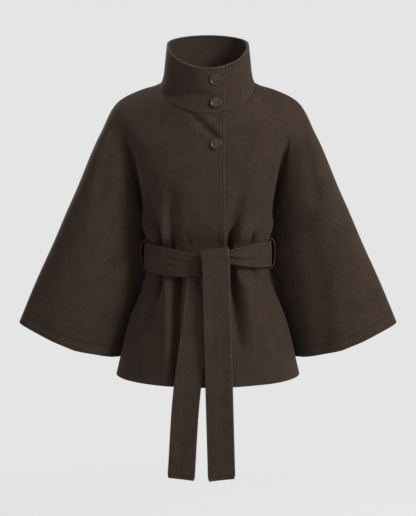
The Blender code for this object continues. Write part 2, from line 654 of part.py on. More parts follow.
def make_tails(wool, collection):
    """The belt's two hanging ends and the knot that one of them falls over."""
    sideways = (1, 0, 0)
    over = strip(OVER_TAIL, OVER_ROWS, BELT_WIDTH, sideways, TAIL_END_SLANT, OVER_DROP)
    under = strip(UNDER_TAIL, UNDER_ROWS, BELT_WIDTH, sideways, -TAIL_END_SLANT)
    double_wall("belt_tail_over", over, DOUBLE_CLOTH, wool, collection)
    double_wall("belt_tail_under", under, DOUBLE_CLOTH, wool, collection)
    bpy.ops.mesh.primitive_cube_add(size=1)
    knot = bpy.context.object
    knot.name = knot.data.name = "belt_knot"
    knot.data.transform(Matrix.Diagonal((*KNOT_SIZE, 1)))
    knot.location = KNOT_CENTRE
    bevel = knot.modifiers.new("rounding", "BEVEL")
    bevel.width = KNOT_ROUNDING
    bevel.segments = 2
    knot.data.materials.append(wool)
    move_to(knot, collection)


def move_to(item, collection):
    """Puts an object in one collection alone."""
    for other in list(item.users_collection):
        other.objects.unlink(item)
    collection.objects.link(item)


def make_loops(wool, collection):
    """The two narrow loops that hold the belt at the side seams."""
    for name, side, drop in (("belt_loop_right", -1, LOOP_DROP_RIGHT), ("belt_loop_left", 1, 0.0)):
        route = [Hang(side * bow.x, LOOP_Y, bow.z - drop) for bow in LOOP]
        loop = strip(route, LOOP_ROWS, LOOP_WIDTH, (0, side, 0))
        double_wall(name, loop, LOOP_THICK, wool, collection)


def turned_button(name, horn, collection):
    """A four-hole button lying on its back: a turned disc with a dished face inside a rim."""
    profile = [
        (0.0, BUTTON_THICK - BUTTON_DISH),
        (BUTTON_RADIUS - BUTTON_RIM, BUTTON_THICK - BUTTON_DISH),
        (BUTTON_RADIUS - BUTTON_CREST, BUTTON_THICK),
        (BUTTON_RADIUS - BUTTON_ROUNDING, BUTTON_THICK),
        (BUTTON_RADIUS, BUTTON_THICK - BUTTON_ROUNDING),
        (BUTTON_RADIUS, BUTTON_ROUNDING),
        (BUTTON_RADIUS - BUTTON_ROUNDING, 0.0),
        (0.0, 0.0),
    ]
    mesh = bpy.data.meshes.new(name)
    edges = [(i, i + 1) for i in range(len(profile) - 1)]
    mesh.from_pydata([(r, 0, z) for r, z in profile], edges, [])
    button = bpy.data.objects.new(name, mesh)
    collection.objects.link(button)
    screw = button.modifiers.new("turning", "SCREW")
    screw.steps = screw.render_steps = BUTTON_SIDES
    screw.use_merge_vertices = True
    screw.merge_threshold = 0.00001
    mesh.materials.append(horn)
    return button


def make_cutters(cutters):
    """The four drills of a button's thread holes, as one object."""
    drills = bmesh.new()
    for sx in (-1, 1):
        for sy in (-1, 1):
            offset = Vector((sx, sy, 0)) * BUTTON_HOLE_PITCH / 2
            place = Matrix.Translation(offset + Vector((0, 0, BUTTON_THICK / 2)))
            bmesh.ops.create_cone(
                drills,
                cap_ends=True,
                segments=DRILL_SIDES,
                radius1=BUTTON_HOLE_RADIUS,
                radius2=BUTTON_HOLE_RADIUS,
                depth=BUTTON_THICK * 3,
                matrix=place,
            )
    mesh = bpy.data.meshes.new("button_drills")
    drills.to_mesh(mesh)
    drills.free()
    drill = bpy.data.objects.new("button_drills", mesh)
    drill.hide_render = True
    drill.display_type = "WIRE"
    cutters.objects.link(drill)
    return drill


def seat(trees, x, z):
    """Where a button rests on the cloth in front of a point of the front view, and the way it faces."""
    turns = [2 * math.pi * k / BUTTON_FEELERS for k in range(BUTTON_FEELERS)]
    reach = BUTTON_RADIUS * BUTTON_SEAT
    touched = []
    for turn in turns:
        start = Vector((x + reach * math.cos(turn), -1.0, z + reach * math.sin(turn)))
        hits = [tree.ray_cast(start, Vector((0, 1, 0))) for tree in trees]
        touched.append(min((hit for hit in hits if hit[0]), key=lambda hit: hit[3])[0])
    centre = sum(touched, Vector()) / len(touched)
    sideways = sum((math.cos(turn) * (point - centre) for turn, point in zip(turns, touched)), Vector())
    upwards = sum((math.sin(turn) * (point - centre) for turn, point in zip(turns, touched)), Vector())
    facing = sideways.cross(upwards).normalized()
    lift = max((point - centre).dot(facing) for point in touched)
    return centre + facing * lift, facing


def make_buttons(horn, carriers, collection, cutters):
    """The three buttons, each lying on the cloth of the collar or the upper front."""
    drill = make_cutters(cutters)
    trees = []
    for item in carriers:
        corners = [vertex.co for vertex in item.data.vertices]
        trees.append(BVHTree.FromPolygons(corners, [tuple(face.vertices) for face in item.data.polygons]))
    for row in BUTTONS:
        place, facing = seat(trees, row.x, row.z)
        button = turned_button(row.name, horn, collection)
        cut = button.modifiers.new("thread holes", "BOOLEAN")
        cut.object, cut.operation = drill.copy(), "DIFFERENCE"
        cutters.objects.link(cut.object)
        turn = facing.to_track_quat("Z", "Y")
        for item in (button, cut.object):
            item.rotation_mode = "QUATERNION"
            item.rotation_quaternion = turn
            item.location = place + facing * BUTTON_GAP


def make_material(name, colour, roughness):
    """A plain finish."""
    material = bpy.data.materials.new(name)
    material.use_nodes = True
    shader = material.node_tree.nodes["Principled BSDF"]
    shader.inputs["Base Color"].default_value = colour
    shader.inputs["Roughness"].default_value = roughness
    shader.inputs["Metallic"].default_value = 0.0
    return material


def main():
    """Clears the file and builds the jacket's pieces in order."""
    for item in list(bpy.data.objects):
        bpy.data.objects.remove(item)
    jacket = bpy.data.collections.new("wrap_jacket")
    cutters = bpy.data.collections.new("cutters")
    bpy.context.scene.collection.children.link(jacket)
    bpy.context.scene.collection.children.link(cutters)
    wool = make_material("wool", WOOL_COLOUR, 0.9)
    horn = make_material("horn", HORN_COLOUR, 0.35)
    panels = make_panels(wool, jacket)
    collar = make_collar(wool, jacket)
    make_belt(wool, jacket)
    make_tails(wool, jacket)
    make_loops(wool, jacket)
    make_buttons(horn, [collar, panels["front_right"]], jacket, cutters)


main()
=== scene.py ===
"""Dresses the wrap jacket: felted wool cloth with its creases and sewing, horn buttons, and the studio.

Every piece of cloth is a thin shell over the same guide sections as its solid, with finer creases and
rounded edges. Lengths are in metres, in millimetres in the rows of a crease table. The front faces -Y,
and the wearer's right is at -X.
"""

from __future__ import annotations

import logging
import math
from dataclasses import dataclass, field, replace
from enum import Enum
from typing import Any, Mapping, Sequence, Union

import bpy
import numpy as np
from mathutils import Matrix, Vector

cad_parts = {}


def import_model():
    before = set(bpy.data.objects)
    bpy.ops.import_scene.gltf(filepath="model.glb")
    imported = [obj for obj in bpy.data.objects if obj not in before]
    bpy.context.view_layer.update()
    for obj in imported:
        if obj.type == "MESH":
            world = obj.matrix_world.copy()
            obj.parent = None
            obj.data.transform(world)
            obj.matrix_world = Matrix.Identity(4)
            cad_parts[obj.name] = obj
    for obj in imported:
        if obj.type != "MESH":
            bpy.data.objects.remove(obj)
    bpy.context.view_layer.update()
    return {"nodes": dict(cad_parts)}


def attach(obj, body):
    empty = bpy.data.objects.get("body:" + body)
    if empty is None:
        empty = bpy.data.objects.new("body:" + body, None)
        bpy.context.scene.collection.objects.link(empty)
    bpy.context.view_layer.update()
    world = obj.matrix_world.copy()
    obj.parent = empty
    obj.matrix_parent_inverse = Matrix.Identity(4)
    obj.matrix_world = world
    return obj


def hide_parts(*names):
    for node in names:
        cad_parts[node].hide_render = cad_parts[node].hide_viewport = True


LOG = logging.getLogger("wrap_jacket")
CARRIER = "root"
FAR = 1.0  # a distance from an edge that is out of reach of its sewing
AT_EDGE = 1e-5  # nearer than this, a point lies on the edge
SAME_PLACE = 6  # decimals of a metre to which points at one place agree

Array = np.ndarray
Colour = tuple[float, float, float]
Point = tuple[float, float, float]


class Side(Enum):
    """The wearer's side of the jacket, as the sign of its x."""

    RIGHT = -1
    LEFT = 1


class Face(Enum):
    """The front or the back of the jacket."""

    FRONT = "front"
    BACK = "back"


class Lap(Enum):
    """How a panel lies at the closing."""

    OVER = "over"
    UNDER = "under"
    NONE = "none"


class Hold(Enum):
    """How a piece of cloth is held up."""

    GATHERED = "gathered"
    HUNG = "hung"
    FOLDED = "folded"


def smooth(value: Union[Array, float], start: float, end: float) -> Array:
    """An S curve of a value, from 0 at start to 1 at end."""
    t = np.clip((np.asarray(value, float) - start) / (end - start), 0.0, 1.0)
    return t * t * (3 - 2 * t)


def unit(vectors: Array) -> Array:
    """The vectors of the last axis at length 1."""
    return vectors / np.maximum(np.linalg.norm(vectors, axis=-1, keepdims=True), 1e-12)


def through(sections: Array, parameters: Array) -> Array:
    """A smooth surface through sections with the same number of points.

    Args:
        sections: The sections, one after the other along the first axis.
        parameters: Where to read the surface, counted in sections.

    Returns:
        One row of points for each parameter.
    """
    sections = np.asarray(sections, float)
    parameters = np.asarray(parameters, float)
    steps = np.diff(sections, axis=0)
    chord = np.maximum(np.linalg.norm(steps, axis=-1, keepdims=True), 1e-6)
    slope = steps / chord
    tangent = np.empty_like(sections)
    tangent[0], tangent[-1] = slope[0], slope[-1]
    weight = chord[1:] / (chord[1:] + chord[:-1])
    tangent[1:-1] = weight * slope[:-1] + (1 - weight) * slope[1:]
    i = np.clip(parameters.astype(int), 0, len(steps) - 1)
    t = (parameters - i).reshape((-1,) + (1,) * (sections.ndim - 1))
    return (
        (2 * t**3 - 3 * t**2 + 1) * sections[i]
        + (t**3 - 2 * t**2 + t) * chord[i] * tangent[i]
        + (3 * t**2 - 2 * t**3) * sections[i + 1]
        + (t**3 - t**2) * chord[i] * tangent[i + 1]
    )


def row_parameters(rows: Sequence[int], fineness: int) -> Array:
    """Where mesh rows lie, counted in sections, with fine rows for each coarse one of every stretch."""
    steps = [i + k / (count * fineness) for i, count in enumerate(rows) for k in range(count * fineness)]
    return np.array(steps + [float(len(rows))])


def grid_index(grid: Array) -> Array:
    """The numbers of a grid's points, row by row."""
    return np.arange(grid.shape[0] * grid.shape[1]).reshape(grid.shape[:2])


def grid_quads(index: Array) -> Array:
    """The quads of a grid of point numbers, as rows of four."""
    corners = (index[:-1, :-1], index[:-1, 1:], index[1:, 1:], index[1:, :-1])
    return np.stack(corners, axis=-1).reshape(-1, 4)


def normals_of(points: Array, quads: Array) -> Array:
    """Smooth outward normals, with points at one place sharing theirs.

    Args:
        points: The points of one or more sheets.
        quads: Their quads, anticlockwise as seen from outside.

    Returns:
        One normal for each point.
    """
    _, index = np.unique(np.round(points, SAME_PLACE), axis=0, return_inverse=True)
    index = index.reshape(-1)
    a, b, c, d = (points[quads[:, k]] for k in range(4))
    facing = np.cross(c - a, d - b)
    total = np.zeros((index.max() + 1, 3))
    for k in range(4):
        np.add.at(total, index[quads[:, k]], facing)
    return unit(total)[index]


def arc_lengths(grid: Array, axis: int) -> Array:
    """How far along an axis of a grid each point lies from the grid's start.

    Args:
        grid: The grid of points.
        axis: The axis.

    Returns:
        The distance at each point.
    """
    steps = np.linalg.norm(np.diff(grid, axis=axis), axis=-1)
    start = np.zeros_like(steps.take([0], axis=axis))
    return np.cumsum(np.concatenate([start, steps], axis=axis), axis=axis)


def grid_sheet(grid: Array, flipped: bool = False) -> tuple[Array, Array]:
    """The points and quads of a grid of points, with its faces turned over if flipped."""
    quads = grid_quads(grid_index(grid))
    return grid.reshape(-1, 3), quads[:, ::-1] if flipped else quads


def deselect_all() -> None:
    """Leaves nothing selected, so that an operator acts on the new piece alone."""
    bpy.ops.object.select_all(action="DESELECT")


def new_piece(
    name: str, points: Array, faces: list[list[int]], material: bpy.types.Material
) -> bpy.types.Object:
    """Makes a smooth mesh an object of the scene.

    Args:
        name: The new object's name.
        points: Its points.
        faces: The numbers of the points round each face.
        material: Its finish.

    Returns:
        The new object.
    """
    mesh = bpy.data.meshes.new(name)
    mesh.from_pydata(points.tolist(), [], faces)
    mesh.shade_smooth()
    mesh.materials.append(material)
    item = bpy.data.objects.new(name, mesh)
    bpy.context.scene.collection.objects.link(item)
    return item


class Value:
    """A node's output, on which arithmetic adds Math nodes."""

    def __init__(self, graph: "Graph", socket: bpy.types.NodeSocket) -> None:
        """Wraps a socket of a graph."""
        self.graph = graph
        self.socket = socket

    def math(self, operation: str, first: Any, second: Any) -> "Value":
        """A Math node on two values, as a value."""
        return self.graph.value("ShaderNodeMath", {"operation": operation}, {0: first, 1: second})

    def __add__(self, other: Any) -> "Value":
        """This value plus another."""
        return self.math("ADD", self, other)

    __radd__ = __add__

    def __sub__(self, other: Any) -> "Value":
        """This value less another."""
        return self.math("SUBTRACT", self, other)

    def __rsub__(self, other: Any) -> "Value":
        """Another value less this one."""
        return self.math("SUBTRACT", other, self)

    def __mul__(self, other: Any) -> "Value":
        """This value times another."""
        return self.math("MULTIPLY", self, other)

    def stepped(self, start: float, end: float) -> "Value":
        """A smooth step of this value from 0 at start to 1 at end."""
        sockets = {"Value": self, "From Min": start, "From Max": end}
        return self.graph.value("ShaderNodeMapRange", {"interpolation_type": "SMOOTHSTEP"}, sockets)

    def bell(self, middle: float, width: float) -> "Value":
        """1 where this value is at the middle, falling to 0 a width away on both sides."""
        away = self.math("ABSOLUTE", self - middle, 0.0)
        return 1 - away.stepped(0.0, width)


class Graph:
    """The node tree of one material, with its Principled shader."""

    def __init__(self, name: str) -> None:
        """Starts a material with a plain shader.

        Args:
            name: The material's name.
        """
        self.material = bpy.data.materials.new(name)
        self.material.use_nodes = True
        self.tree = self.material.node_tree
        self.shader = self.tree.nodes["Principled BSDF"]

    def node(self, kind: str, settings: Mapping[str, Any], sockets: Mapping[Any, Any]) -> bpy.types.Node:
        """Adds a node.

        Args:
            kind: The node's type.
            settings: Its properties, set first; `stops` are a ramp's places and colours.
            sockets: Values or links for its inputs, by name or number.

        Returns:
            The node.
        """
        node = self.tree.nodes.new(kind)
        for name, setting in settings.items():
            if name == "stops":
                elements = node.color_ramp.elements
                while len(elements) < len(setting):
                    elements.new(0.5)
                for element, (place, colour) in zip(elements, setting):
                    element.position = place
                    element.color = (*colour, 1.0)
            else:
                setattr(node, name, setting)
        self.feed(node, sockets)
        return node

    def feed(self, node: bpy.types.Node, sockets: Mapping[Any, Any]) -> None:
        """Sets or links a node's inputs, by name or number.

        Args:
            node: The node.
            sockets: Values or links for its inputs, by name or number.
        """
        for name, given in sockets.items():
            if isinstance(given, Value):
                self.tree.links.new(given.socket, node.inputs[name])
            else:
                node.inputs[name].default_value = given

    def value(
        self, kind: str, settings: Mapping[str, Any], sockets: Mapping[Any, Any], output: Any = 0
    ) -> Value:
        """Adds a node and gives one of its outputs."""
        return Value(self, self.node(kind, settings, sockets).outputs[output])

    def place(self) -> Value:
        """The point of the surface, in the object's own coordinates."""
        return self.value("ShaderNodeTexCoord", {}, {}, "Object")

    def noise(self, place: Value, scale: float, detail: float = 2.0, roughness: float = 0.5) -> Value:
        """A noise between 0 and 1, with its scale in waves to the metre."""
        sockets = {"Vector": place, "Scale": scale, "Detail": detail, "Roughness": roughness}
        return self.value("ShaderNodeTexNoise", {}, sockets, "Fac")

    def attribute(self, name: str) -> Value:
        """A number that the mesh carries at its points."""
        return self.value("ShaderNodeAttribute", {"attribute_name": name}, {}, "Fac")

    def mixed(self, share: Value, first: Any, second: Any) -> Value:
        """A mix of two colours.

        Args:
            share: How much of the second it has.
            first: The first colour.
            second: The second colour.

        Returns:
            The mixed colour.
        """
        colours = [c if isinstance(c, Value) else (*c, 1.0) for c in (first, second)]
        sockets = {0: share, 6: colours[0], 7: colours[1]}
        return self.value("ShaderNodeMix", {"data_type": "RGBA"}, sockets, 2)

    def bump(self, height: Value, distance: float, strength: float) -> Value:
        """A normal bent by a height."""
        sockets = {"Height": height, "Distance": distance, "Strength": strength}
        return self.value("ShaderNodeBump", {}, sockets, "Normal")


@dataclass(frozen=True)
class SewnLine:
    """A line of topstitching, at a distance from an edge that an attribute measures."""

    attribute: str
    distance: float


@dataclass(frozen=True)
class WoolFinish:
    """Felted coating wool: dark brown, mottled, with a short nap and dents along its sewing; painted shade
    darkens the dents, and its edges lighten with wear and a painted highlight.
    """

    name: str
    lines: tuple[SewnLine, ...] = ()
    dark: Colour = (0.0112, 0.0070, 0.0048)
    light: Colour = (0.0362, 0.0236, 0.0174)
    # partly wear, partly painted highlight: the paler colour the cloth takes near its edges
    worn_and_lit: Colour = (0.066, 0.047, 0.036)
    sheen: Colour = (0.90, 0.72, 0.60)
    mottle_scale: float = 24.0
    clump_scale: float = 190.0
    grain_scale: float = 620.0
    fibre_scale: float = 1500.0
    mottle_tint: float = 0.34
    clump_tint: float = 0.6
    grain_tint: float = 0.9
    clump_height: float = 0.35
    grain_height: float = 0.45
    fibre_height: float = 0.35
    nap_depth: float = 0.0009
    nap_strength: float = 0.6
    dent_width: float = 0.0026
    # painted shade: how far the colour darkens in the dents along the sewing
    groove_shade_tint: float = 0.45
    dent_depth: float = 1.6
    wear_and_highlight_width: float = 0.0030
    wear_and_highlight_tint: float = 0.35
    roughness: float = 0.86
    roughness_range: float = 0.16
    edges: tuple[str, ...] = ()

    def material(self) -> bpy.types.Material:
        """Builds the wool's nodes.

        Returns:
            The material.
        """
        graph = Graph(self.name)
        place = graph.place()
        mottle = graph.noise(place, self.mottle_scale, 3.0)
        clumps = graph.noise(place, self.clump_scale, 3.0, 0.6)
        grain = graph.noise(place, self.grain_scale, 2.0, 0.7)
        fibre = graph.noise(place, self.fibre_scale, 2.0, 0.7)
        tints = ((mottle, self.mottle_tint), (clumps, self.clump_tint), (grain, self.grain_tint))
        share: Any = 0.5
        for noise, tint in tints:
            share = share + (noise - 0.5) * tint
        colour = graph.mixed(share.stepped(0.0, 1.0), self.dark, self.light)
        height = clumps * self.clump_height + grain * self.grain_height + fibre * self.fibre_height
        for line in self.lines:
            dent_and_shade = graph.attribute(line.attribute).bell(line.distance, self.dent_width)
            # painted shade: the colour darkens in each dent of the sewing, as well as the dent's bump
            colour = graph.mixed(dent_and_shade * self.groove_shade_tint, colour, self.dark)
            height = height - dent_and_shade * self.dent_depth
        for edge in self.edges:
            # partly wear, partly painted highlight: the colour lightens within a few millimetres of the
            # given edges
            rubbed_and_lit = 1 - graph.attribute(edge).stepped(0.0, self.wear_and_highlight_width)
            colour = graph.mixed(rubbed_and_lit * self.wear_and_highlight_tint * clumps.stepped(0.2, 0.7), colour, self.worn_and_lit)
        graph.feed(
            graph.shader,
            {
                "Base Color": colour,
                "Roughness": self.roughness + (grain - 0.5) * self.roughness_range,
                "Normal": graph.bump(height, self.nap_depth, self.nap_strength),
                "Sheen Weight": 0.05,
                "Sheen Roughness": 0.45,
                "Sheen Tint": (*self.sheen, 1.0),
                "Specular IOR Level": 0.08,
            },
        )
        return graph.material


@dataclass(frozen=True)
class ThreadFinish:
    """Twisted sewing thread, a little lighter than the wool."""

    name: str = "brown_thread"
    dark: Colour = (0.020, 0.014, 0.010)
    light: Colour = (0.062, 0.046, 0.036)
    twist_scale: float = 2200.0
    twist_depth: float = 0.0002

    def material(self) -> bpy.types.Material:
        """Builds the thread's nodes.

        Returns:
            The material.
        """
        graph = Graph(self.name)
        twist = graph.noise(graph.place(), self.twist_scale, 1.0)
        colour = graph.mixed(twist.stepped(0.3, 0.7), self.dark, self.light)
        sockets = {"Base Color": colour, "Roughness": 0.5 + twist * 0.2}
        graph.feed(graph.shader, {**sockets, "Normal": graph.bump(twist, self.twist_depth, 0.5)})
        return graph.material


@dataclass(frozen=True)
class HornFinish:
    """Polished horn: smoky grey-brown with paler streaks, and fine scratches in its gloss."""

    name: str = "smoky_horn"
    dark: Colour = (0.005, 0.004, 0.0025)
    middle: Colour = (0.017, 0.0125, 0.0065)
    pale: Colour = (0.062, 0.047, 0.025)
    cloud_scale: float = 85.0
    streak_scale: float = 240.0
    scratch_scale: float = 900.0
    scratch_depth: float = 0.0001
    grain_turn: Point = (0.3, 0.5, 0.4)
    grain_stretch: Point = (1.0, 1.0, 3.2)

    def material(self) -> bpy.types.Material:
        """Builds the horn's nodes.

        Returns:
            The material.
        """
        graph = Graph(self.name)
        place = graph.place()
        sockets = {"Vector": place, "Rotation": self.grain_turn, "Scale": self.grain_stretch}
        drawn = graph.value("ShaderNodeMapping", {}, sockets, "Vector")
        cloud = graph.noise(drawn, self.cloud_scale, 3.0, 0.55)
        streak = graph.noise(drawn, self.streak_scale, 2.0, 0.5)
        stops = {"stops": ((0.30, self.dark), (0.52, self.middle), (0.74, self.pale))}
        colour = graph.value("ShaderNodeValToRGB", stops, {"Fac": cloud * 0.75 + streak * 0.25}, "Color")
        scratch = graph.noise(place, self.scratch_scale, 2.0, 0.6)
        sockets = {"Base Color": colour, "Roughness": 0.20 + scratch * 0.14}
        sockets.update({"Coat Weight": 0.02, "Coat Roughness": 0.10, "IOR": 1.30})
        graph.feed(graph.shader, {**sockets, "Normal": graph.bump(scratch, self.scratch_depth, 0.25)})
        return graph.material


@dataclass(frozen=True)
class FloorFinish:
    """A matt pale floor that glows into the backdrop's grey away from the jacket, with no horizon."""

    backdrop: Colour
    name: str = "pale_floor"
    dark: Colour = (0.70, 0.70, 0.70)
    light: Colour = (0.74, 0.74, 0.74)
    black: Colour = (0.0, 0.0, 0.0)
    near: float = 0.7
    far: float = 2.4

    def material(self) -> bpy.types.Material:
        """Builds the floor's nodes.

        Returns:
            The material.
        """
        graph = Graph(self.name)
        place = graph.place()
        level = {0: place, 1: (1.0, 1.0, 0.0)}
        flat = graph.value("ShaderNodeVectorMath", {"operation": "MULTIPLY"}, level, "Vector")
        away = graph.value("ShaderNodeVectorMath", {"operation": "LENGTH"}, {0: flat}, "Value")
        glow = away.stepped(self.near, self.far)
        cloud = graph.noise(place, 0.8, 2.0)
        colour = graph.mixed(glow, graph.mixed(cloud, self.dark, self.light), self.black)
        sockets = {"Base Color": colour, "Roughness": 0.9 + cloud * 0.05, "Specular IOR Level": 0.0}
        sockets["Emission Color"] = graph.mixed(glow, self.black, self.backdrop)
        sockets["Emission Strength"] = 1.0
        graph.feed(graph.shader, sockets)
        return graph.material


@dataclass
class Sheet:
    """A sheet of cloth: the points and quads of its outer face, and numbers carried at its points."""

    points: Array
    quads: Array
    normals: Array
    fields: dict[str, Array] = field(default_factory=dict)
    rim_segments: int = 4
    edge_bulge: Union[float, Array] = 0.55  # of half the wall's thickness

    def shell(
        self, name: str, thickness: Union[float, Array], material: bpy.types.Material
    ) -> bpy.types.Object:
        """Makes the sheet a wall with rounded edges.

        Args:
            name: The name of the new object.
            thickness: The wall's thickness, at each point or all over.
            material: The finish.

        Returns:
            The new object.
        """
        count = len(self.points)
        edges = np.concatenate([self.quads[:, [k, (k + 1) % 4]] for k in range(4)])
        reverse = edges[:, 1] * count + edges[:, 0]
        rim = edges[~np.isin(edges[:, 0] * count + edges[:, 1], reverse)]
        along = self.points[rim[:, 1]] - self.points[rim[:, 0]]
        outward = np.zeros_like(self.points)
        away = np.cross(along, self.normals[rim].mean(axis=1))
        np.add.at(outward, rim.ravel(), np.repeat(away, 2, axis=0))
        outward = unit(outward)
        radius = (np.broadcast_to(thickness, count) / 2)[:, None]
        outward = outward * np.broadcast_to(self.edge_bulge, count)[:, None]
        outer = self.points - outward * radius
        inner = outer - self.normals * radius * 2
        line, place = np.unique(rim, return_inverse=True)
        place = place.reshape(rim.shape)
        parts, rings = [outer, inner], [rim]
        for k in range(1, self.rim_segments):
            turn = math.pi * k / self.rim_segments
            lean = self.normals * (math.cos(turn) - 1) + outward * math.sin(turn)
            rings.append(place + sum(len(part) for part in parts))
            parts.append((outer + lean * radius)[line])
        rings.append(rim + count)
        faces = [self.quads, self.quads[:, ::-1] + count]
        for near, far in zip(rings[:-1], rings[1:]):
            faces.append(np.stack([near[:, 1], near[:, 0], far[:, 0], far[:, 1]], axis=1))
        item = new_piece(name, np.concatenate(parts), np.concatenate(faces).tolist(), material)
        for key, numbers in self.fields.items():
            spread = np.concatenate([numbers, numbers] + [numbers[line]] * (self.rim_segments - 1))
            layer = item.data.attributes.new(key, "FLOAT", "POINT")
            layer.data.foreach_set("value", spread.astype(np.float32))
        return item


@dataclass(frozen=True)
class Crease:
    """A trough in the cloth between two points of the front view, or a ridge if its depths are negative."""

    x0: float
    z0: float
    x1: float
    z1: float
    width0: float
    width1: float
    depth0: float
    depth1: float
    bow: float = 0.0
    pinch: float = 0.0  # 0 for a round bottom, 1 for a sharp one
    pinch_rate: float = 1.6
    shoulder: float = 0.25
    shoulder_at: float = 1.9
    end_fade: float = 0.020

    def mirrored(self, side: Side) -> "Crease":
        """The crease on a side of the jacket, for one given at the wearer's left."""
        return replace(self, x0=self.x0 * side.value, x1=self.x1 * side.value)

    def depths(self, points: Array) -> Array:
        """How far in the crease presses each point.

        Args:
            points: Points of the cloth.

        Returns:
            The depth at each point, negative where the cloth rises.
        """
        start, end = np.array([self.x0, self.z0]), np.array([self.x1, self.z1])
        length = np.linalg.norm(end - start)
        along = (end - start) / length
        offset = points[:, [0, 2]] - start
        reach = offset @ along
        t = np.clip(reach / length, 0, 1)
        across = offset[:, 1] * along[0] - offset[:, 0] * along[1] - self.bow * 4 * t * (1 - t)
        fade = min(self.end_fade, length / 3)
        past = np.abs(reach - length / 2) - length / 2
        width = self.width0 + (self.width1 - self.width0) * t
        depth = (self.depth0 + (self.depth1 - self.depth0) * t) * (1 - smooth(past, -fade, fade))
        ratio = np.abs(across) / width
        beside = self.shoulder * np.exp(-((ratio - self.shoulder_at) ** 2))
        profile = (1 - self.pinch) * np.exp(-(ratio**2)) + self.pinch * np.exp(-self.pinch_rate * ratio)
        return depth * (profile - beside)


def crease_table(*rows: tuple[float, ...]) -> tuple[Crease, ...]:
    """Creases from rows in millimetres.

    Args:
        rows: The x and z of both ends, both widths and both depths, then the bow and the pinch, if any. The
            pinch is a share.

    Returns:
        The creases, in metres.
    """
    return tuple(Crease(*(size / 1000 for size in row[:9]), *row[9:]) for row in rows)


def pressed(points: Array, creases: Sequence[Crease]) -> Array:
    """How far in several creases together press each point."""
    return sum((crease.depths(points) for crease in creases), np.zeros(len(points)))


def creased(points: Array, quads: Array, creases: Sequence[Crease], front_only: bool = False) -> Array:
    """Points of cloth with creases pressed in along its normals.

    Args:
        points: The cloth's points.
        quads: Its quads.
        creases: The creases.
        front_only: Whether only what lies at -Y is pressed.

    Returns:
        The new points.
    """
    depth = pressed(points, creases)
    if front_only:
        depth = np.where(points[:, 1] < 0, depth, 0.0)
    return points - normals_of(points, quads) * depth[:, None]


@dataclass
class Stitching:
    """Topstitching: short stitches of thread laid along lines on the cloth."""

    length: float = 0.0031
    pitch: float = 0.0042
    width: float = 0.00085
    height: float = 0.00055
    lift: float = 0.00005
    ends: float = 0.004
    nose: float = 0.32  # of the stitch's length, from its middle
    sunk: float = 0.3  # of its height, at its tips

    def template(self) -> tuple[Array, list[list[int]]]:
        """One stitch along X, facing Z: a grain with a tapered nose at each end.

        Returns:
            Its points and faces.
        """
        ring = [(0.0, 1.0), (0.8, 0.3), (0.5, -0.5), (-0.5, -0.5), (-0.8, 0.3)]
        points = [(-0.5 * self.length, 0.0, -self.sunk * self.height)]
        for x in (-self.nose, self.nose):
            points += [(x * self.length, y * self.width / 2, z * self.height) for y, z in ring]
        points.append((0.5 * self.length, 0.0, -self.sunk * self.height))
        count = len(ring)
        pairs = [(1 + k, 1 + (k + 1) % count) for k in range(count)]
        faces = [[0, a, b] for a, b in pairs]
        faces += [[a, a + count, b + count, b] for a, b in pairs]
        faces += [[1 + 2 * count, b + count, a + count] for a, b in pairs]
        return np.array(points), faces

    def places(self, line: Array, facing: Array) -> tuple[Array, Array, Array]:
        """Where stitches lie along one line.

        Args:
            line: Points of the line.
            facing: The cloth's normals there.

        Returns:
            The stitches' middles, directions and normals.
        """
        run = arc_lengths(line, 0)
        at = np.arange(self.ends, run[-1] - self.ends, self.pitch)

        def read(values: Array, shift: float) -> Array:
            """Values along the line at each stitch, a shift further on."""
            return np.stack([np.interp(at + shift, run, values[:, k]) for k in range(3)], axis=1)

        middle, up = read(line, 0.0), read(facing, 0.0)
        ahead, behind = read(line, self.length / 2), read(line, -self.length / 2)
        along = unit(ahead - behind)
        up = unit(up - along * (up * along).sum(axis=1, keepdims=True))
        return middle, along, up

    def build(
        self, name: str, lines: Sequence[tuple[Array, Array]], thread: bpy.types.Material
    ) -> bpy.types.Object:
        """Sews lines of stitches as one piece.

        Args:
            name: The name of the new object.
            lines: The points and normals of each line.
            thread: The finish.

        Returns:
            The new object.
        """
        grain, grain_faces = self.template()
        points, faces = [], []
        for line, facing in lines:
            for middle, along, up in zip(*self.places(line, facing)):
                turn = np.stack([along, np.cross(up, along), up])
                start = len(points) * len(grain)
                faces += [[start + k for k in face] for face in grain_faces]
                points.append(middle + up * self.lift + grain @ turn)
        return new_piece(name, np.concatenate(points), faces, thread)


def line_beside(
    grid: Array, normals: Array, axis: int, distance: float, from_end: bool
) -> tuple[Array, Array]:
    """A line on a grid of cloth at a distance from one of its edges.

    Args:
        grid: The cloth's points.
        normals: The cloth's normals.
        axis: The grid's axis along which the distance is measured.
        distance: How far from the edge.
        from_end: Whether the edge is the grid's last row or column rather than its first.

    Returns:
        The line's points and normals.
    """
    if from_end:
        grid, normals = np.flip(grid, axis), np.flip(normals, axis)
    lengths = np.moveaxis(arc_lengths(grid, axis), axis, 0)
    grid, normals = np.moveaxis(grid, axis, 0), np.moveaxis(normals, axis, 0)
    both = np.concatenate([grid, normals], axis=-1)
    line = np.array(
        [[np.interp(distance, lengths[:, j], both[:, j, k]) for k in range(6)] for j in range(both.shape[1])]
    )
    return line[:, :3], unit(line[:, 3:])


@dataclass(frozen=True)
class Cut:
    """How a piece of cloth is cut and held: its flat width and length, its area and its hold."""

    flat: tuple[float, float]
    area: float
    hold: Hold


def declare(item: bpy.types.Object, node: str, sewing: Sequence[bpy.types.Object] = ()) -> None:
    """Hangs a piece of cloth and the stitches on it from the carrier, hides the solid that it stands for and
    logs its faces.

    Args:
        item: The piece.
        node: The solid that it stands for.
        sewing: The stitches on it.
    """
    for piece in (item, *sewing):
        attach(piece, CARRIER)
    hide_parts(node)
    LOG.info("%s: %d faces of cloth", item.name, len(item.data.polygons))


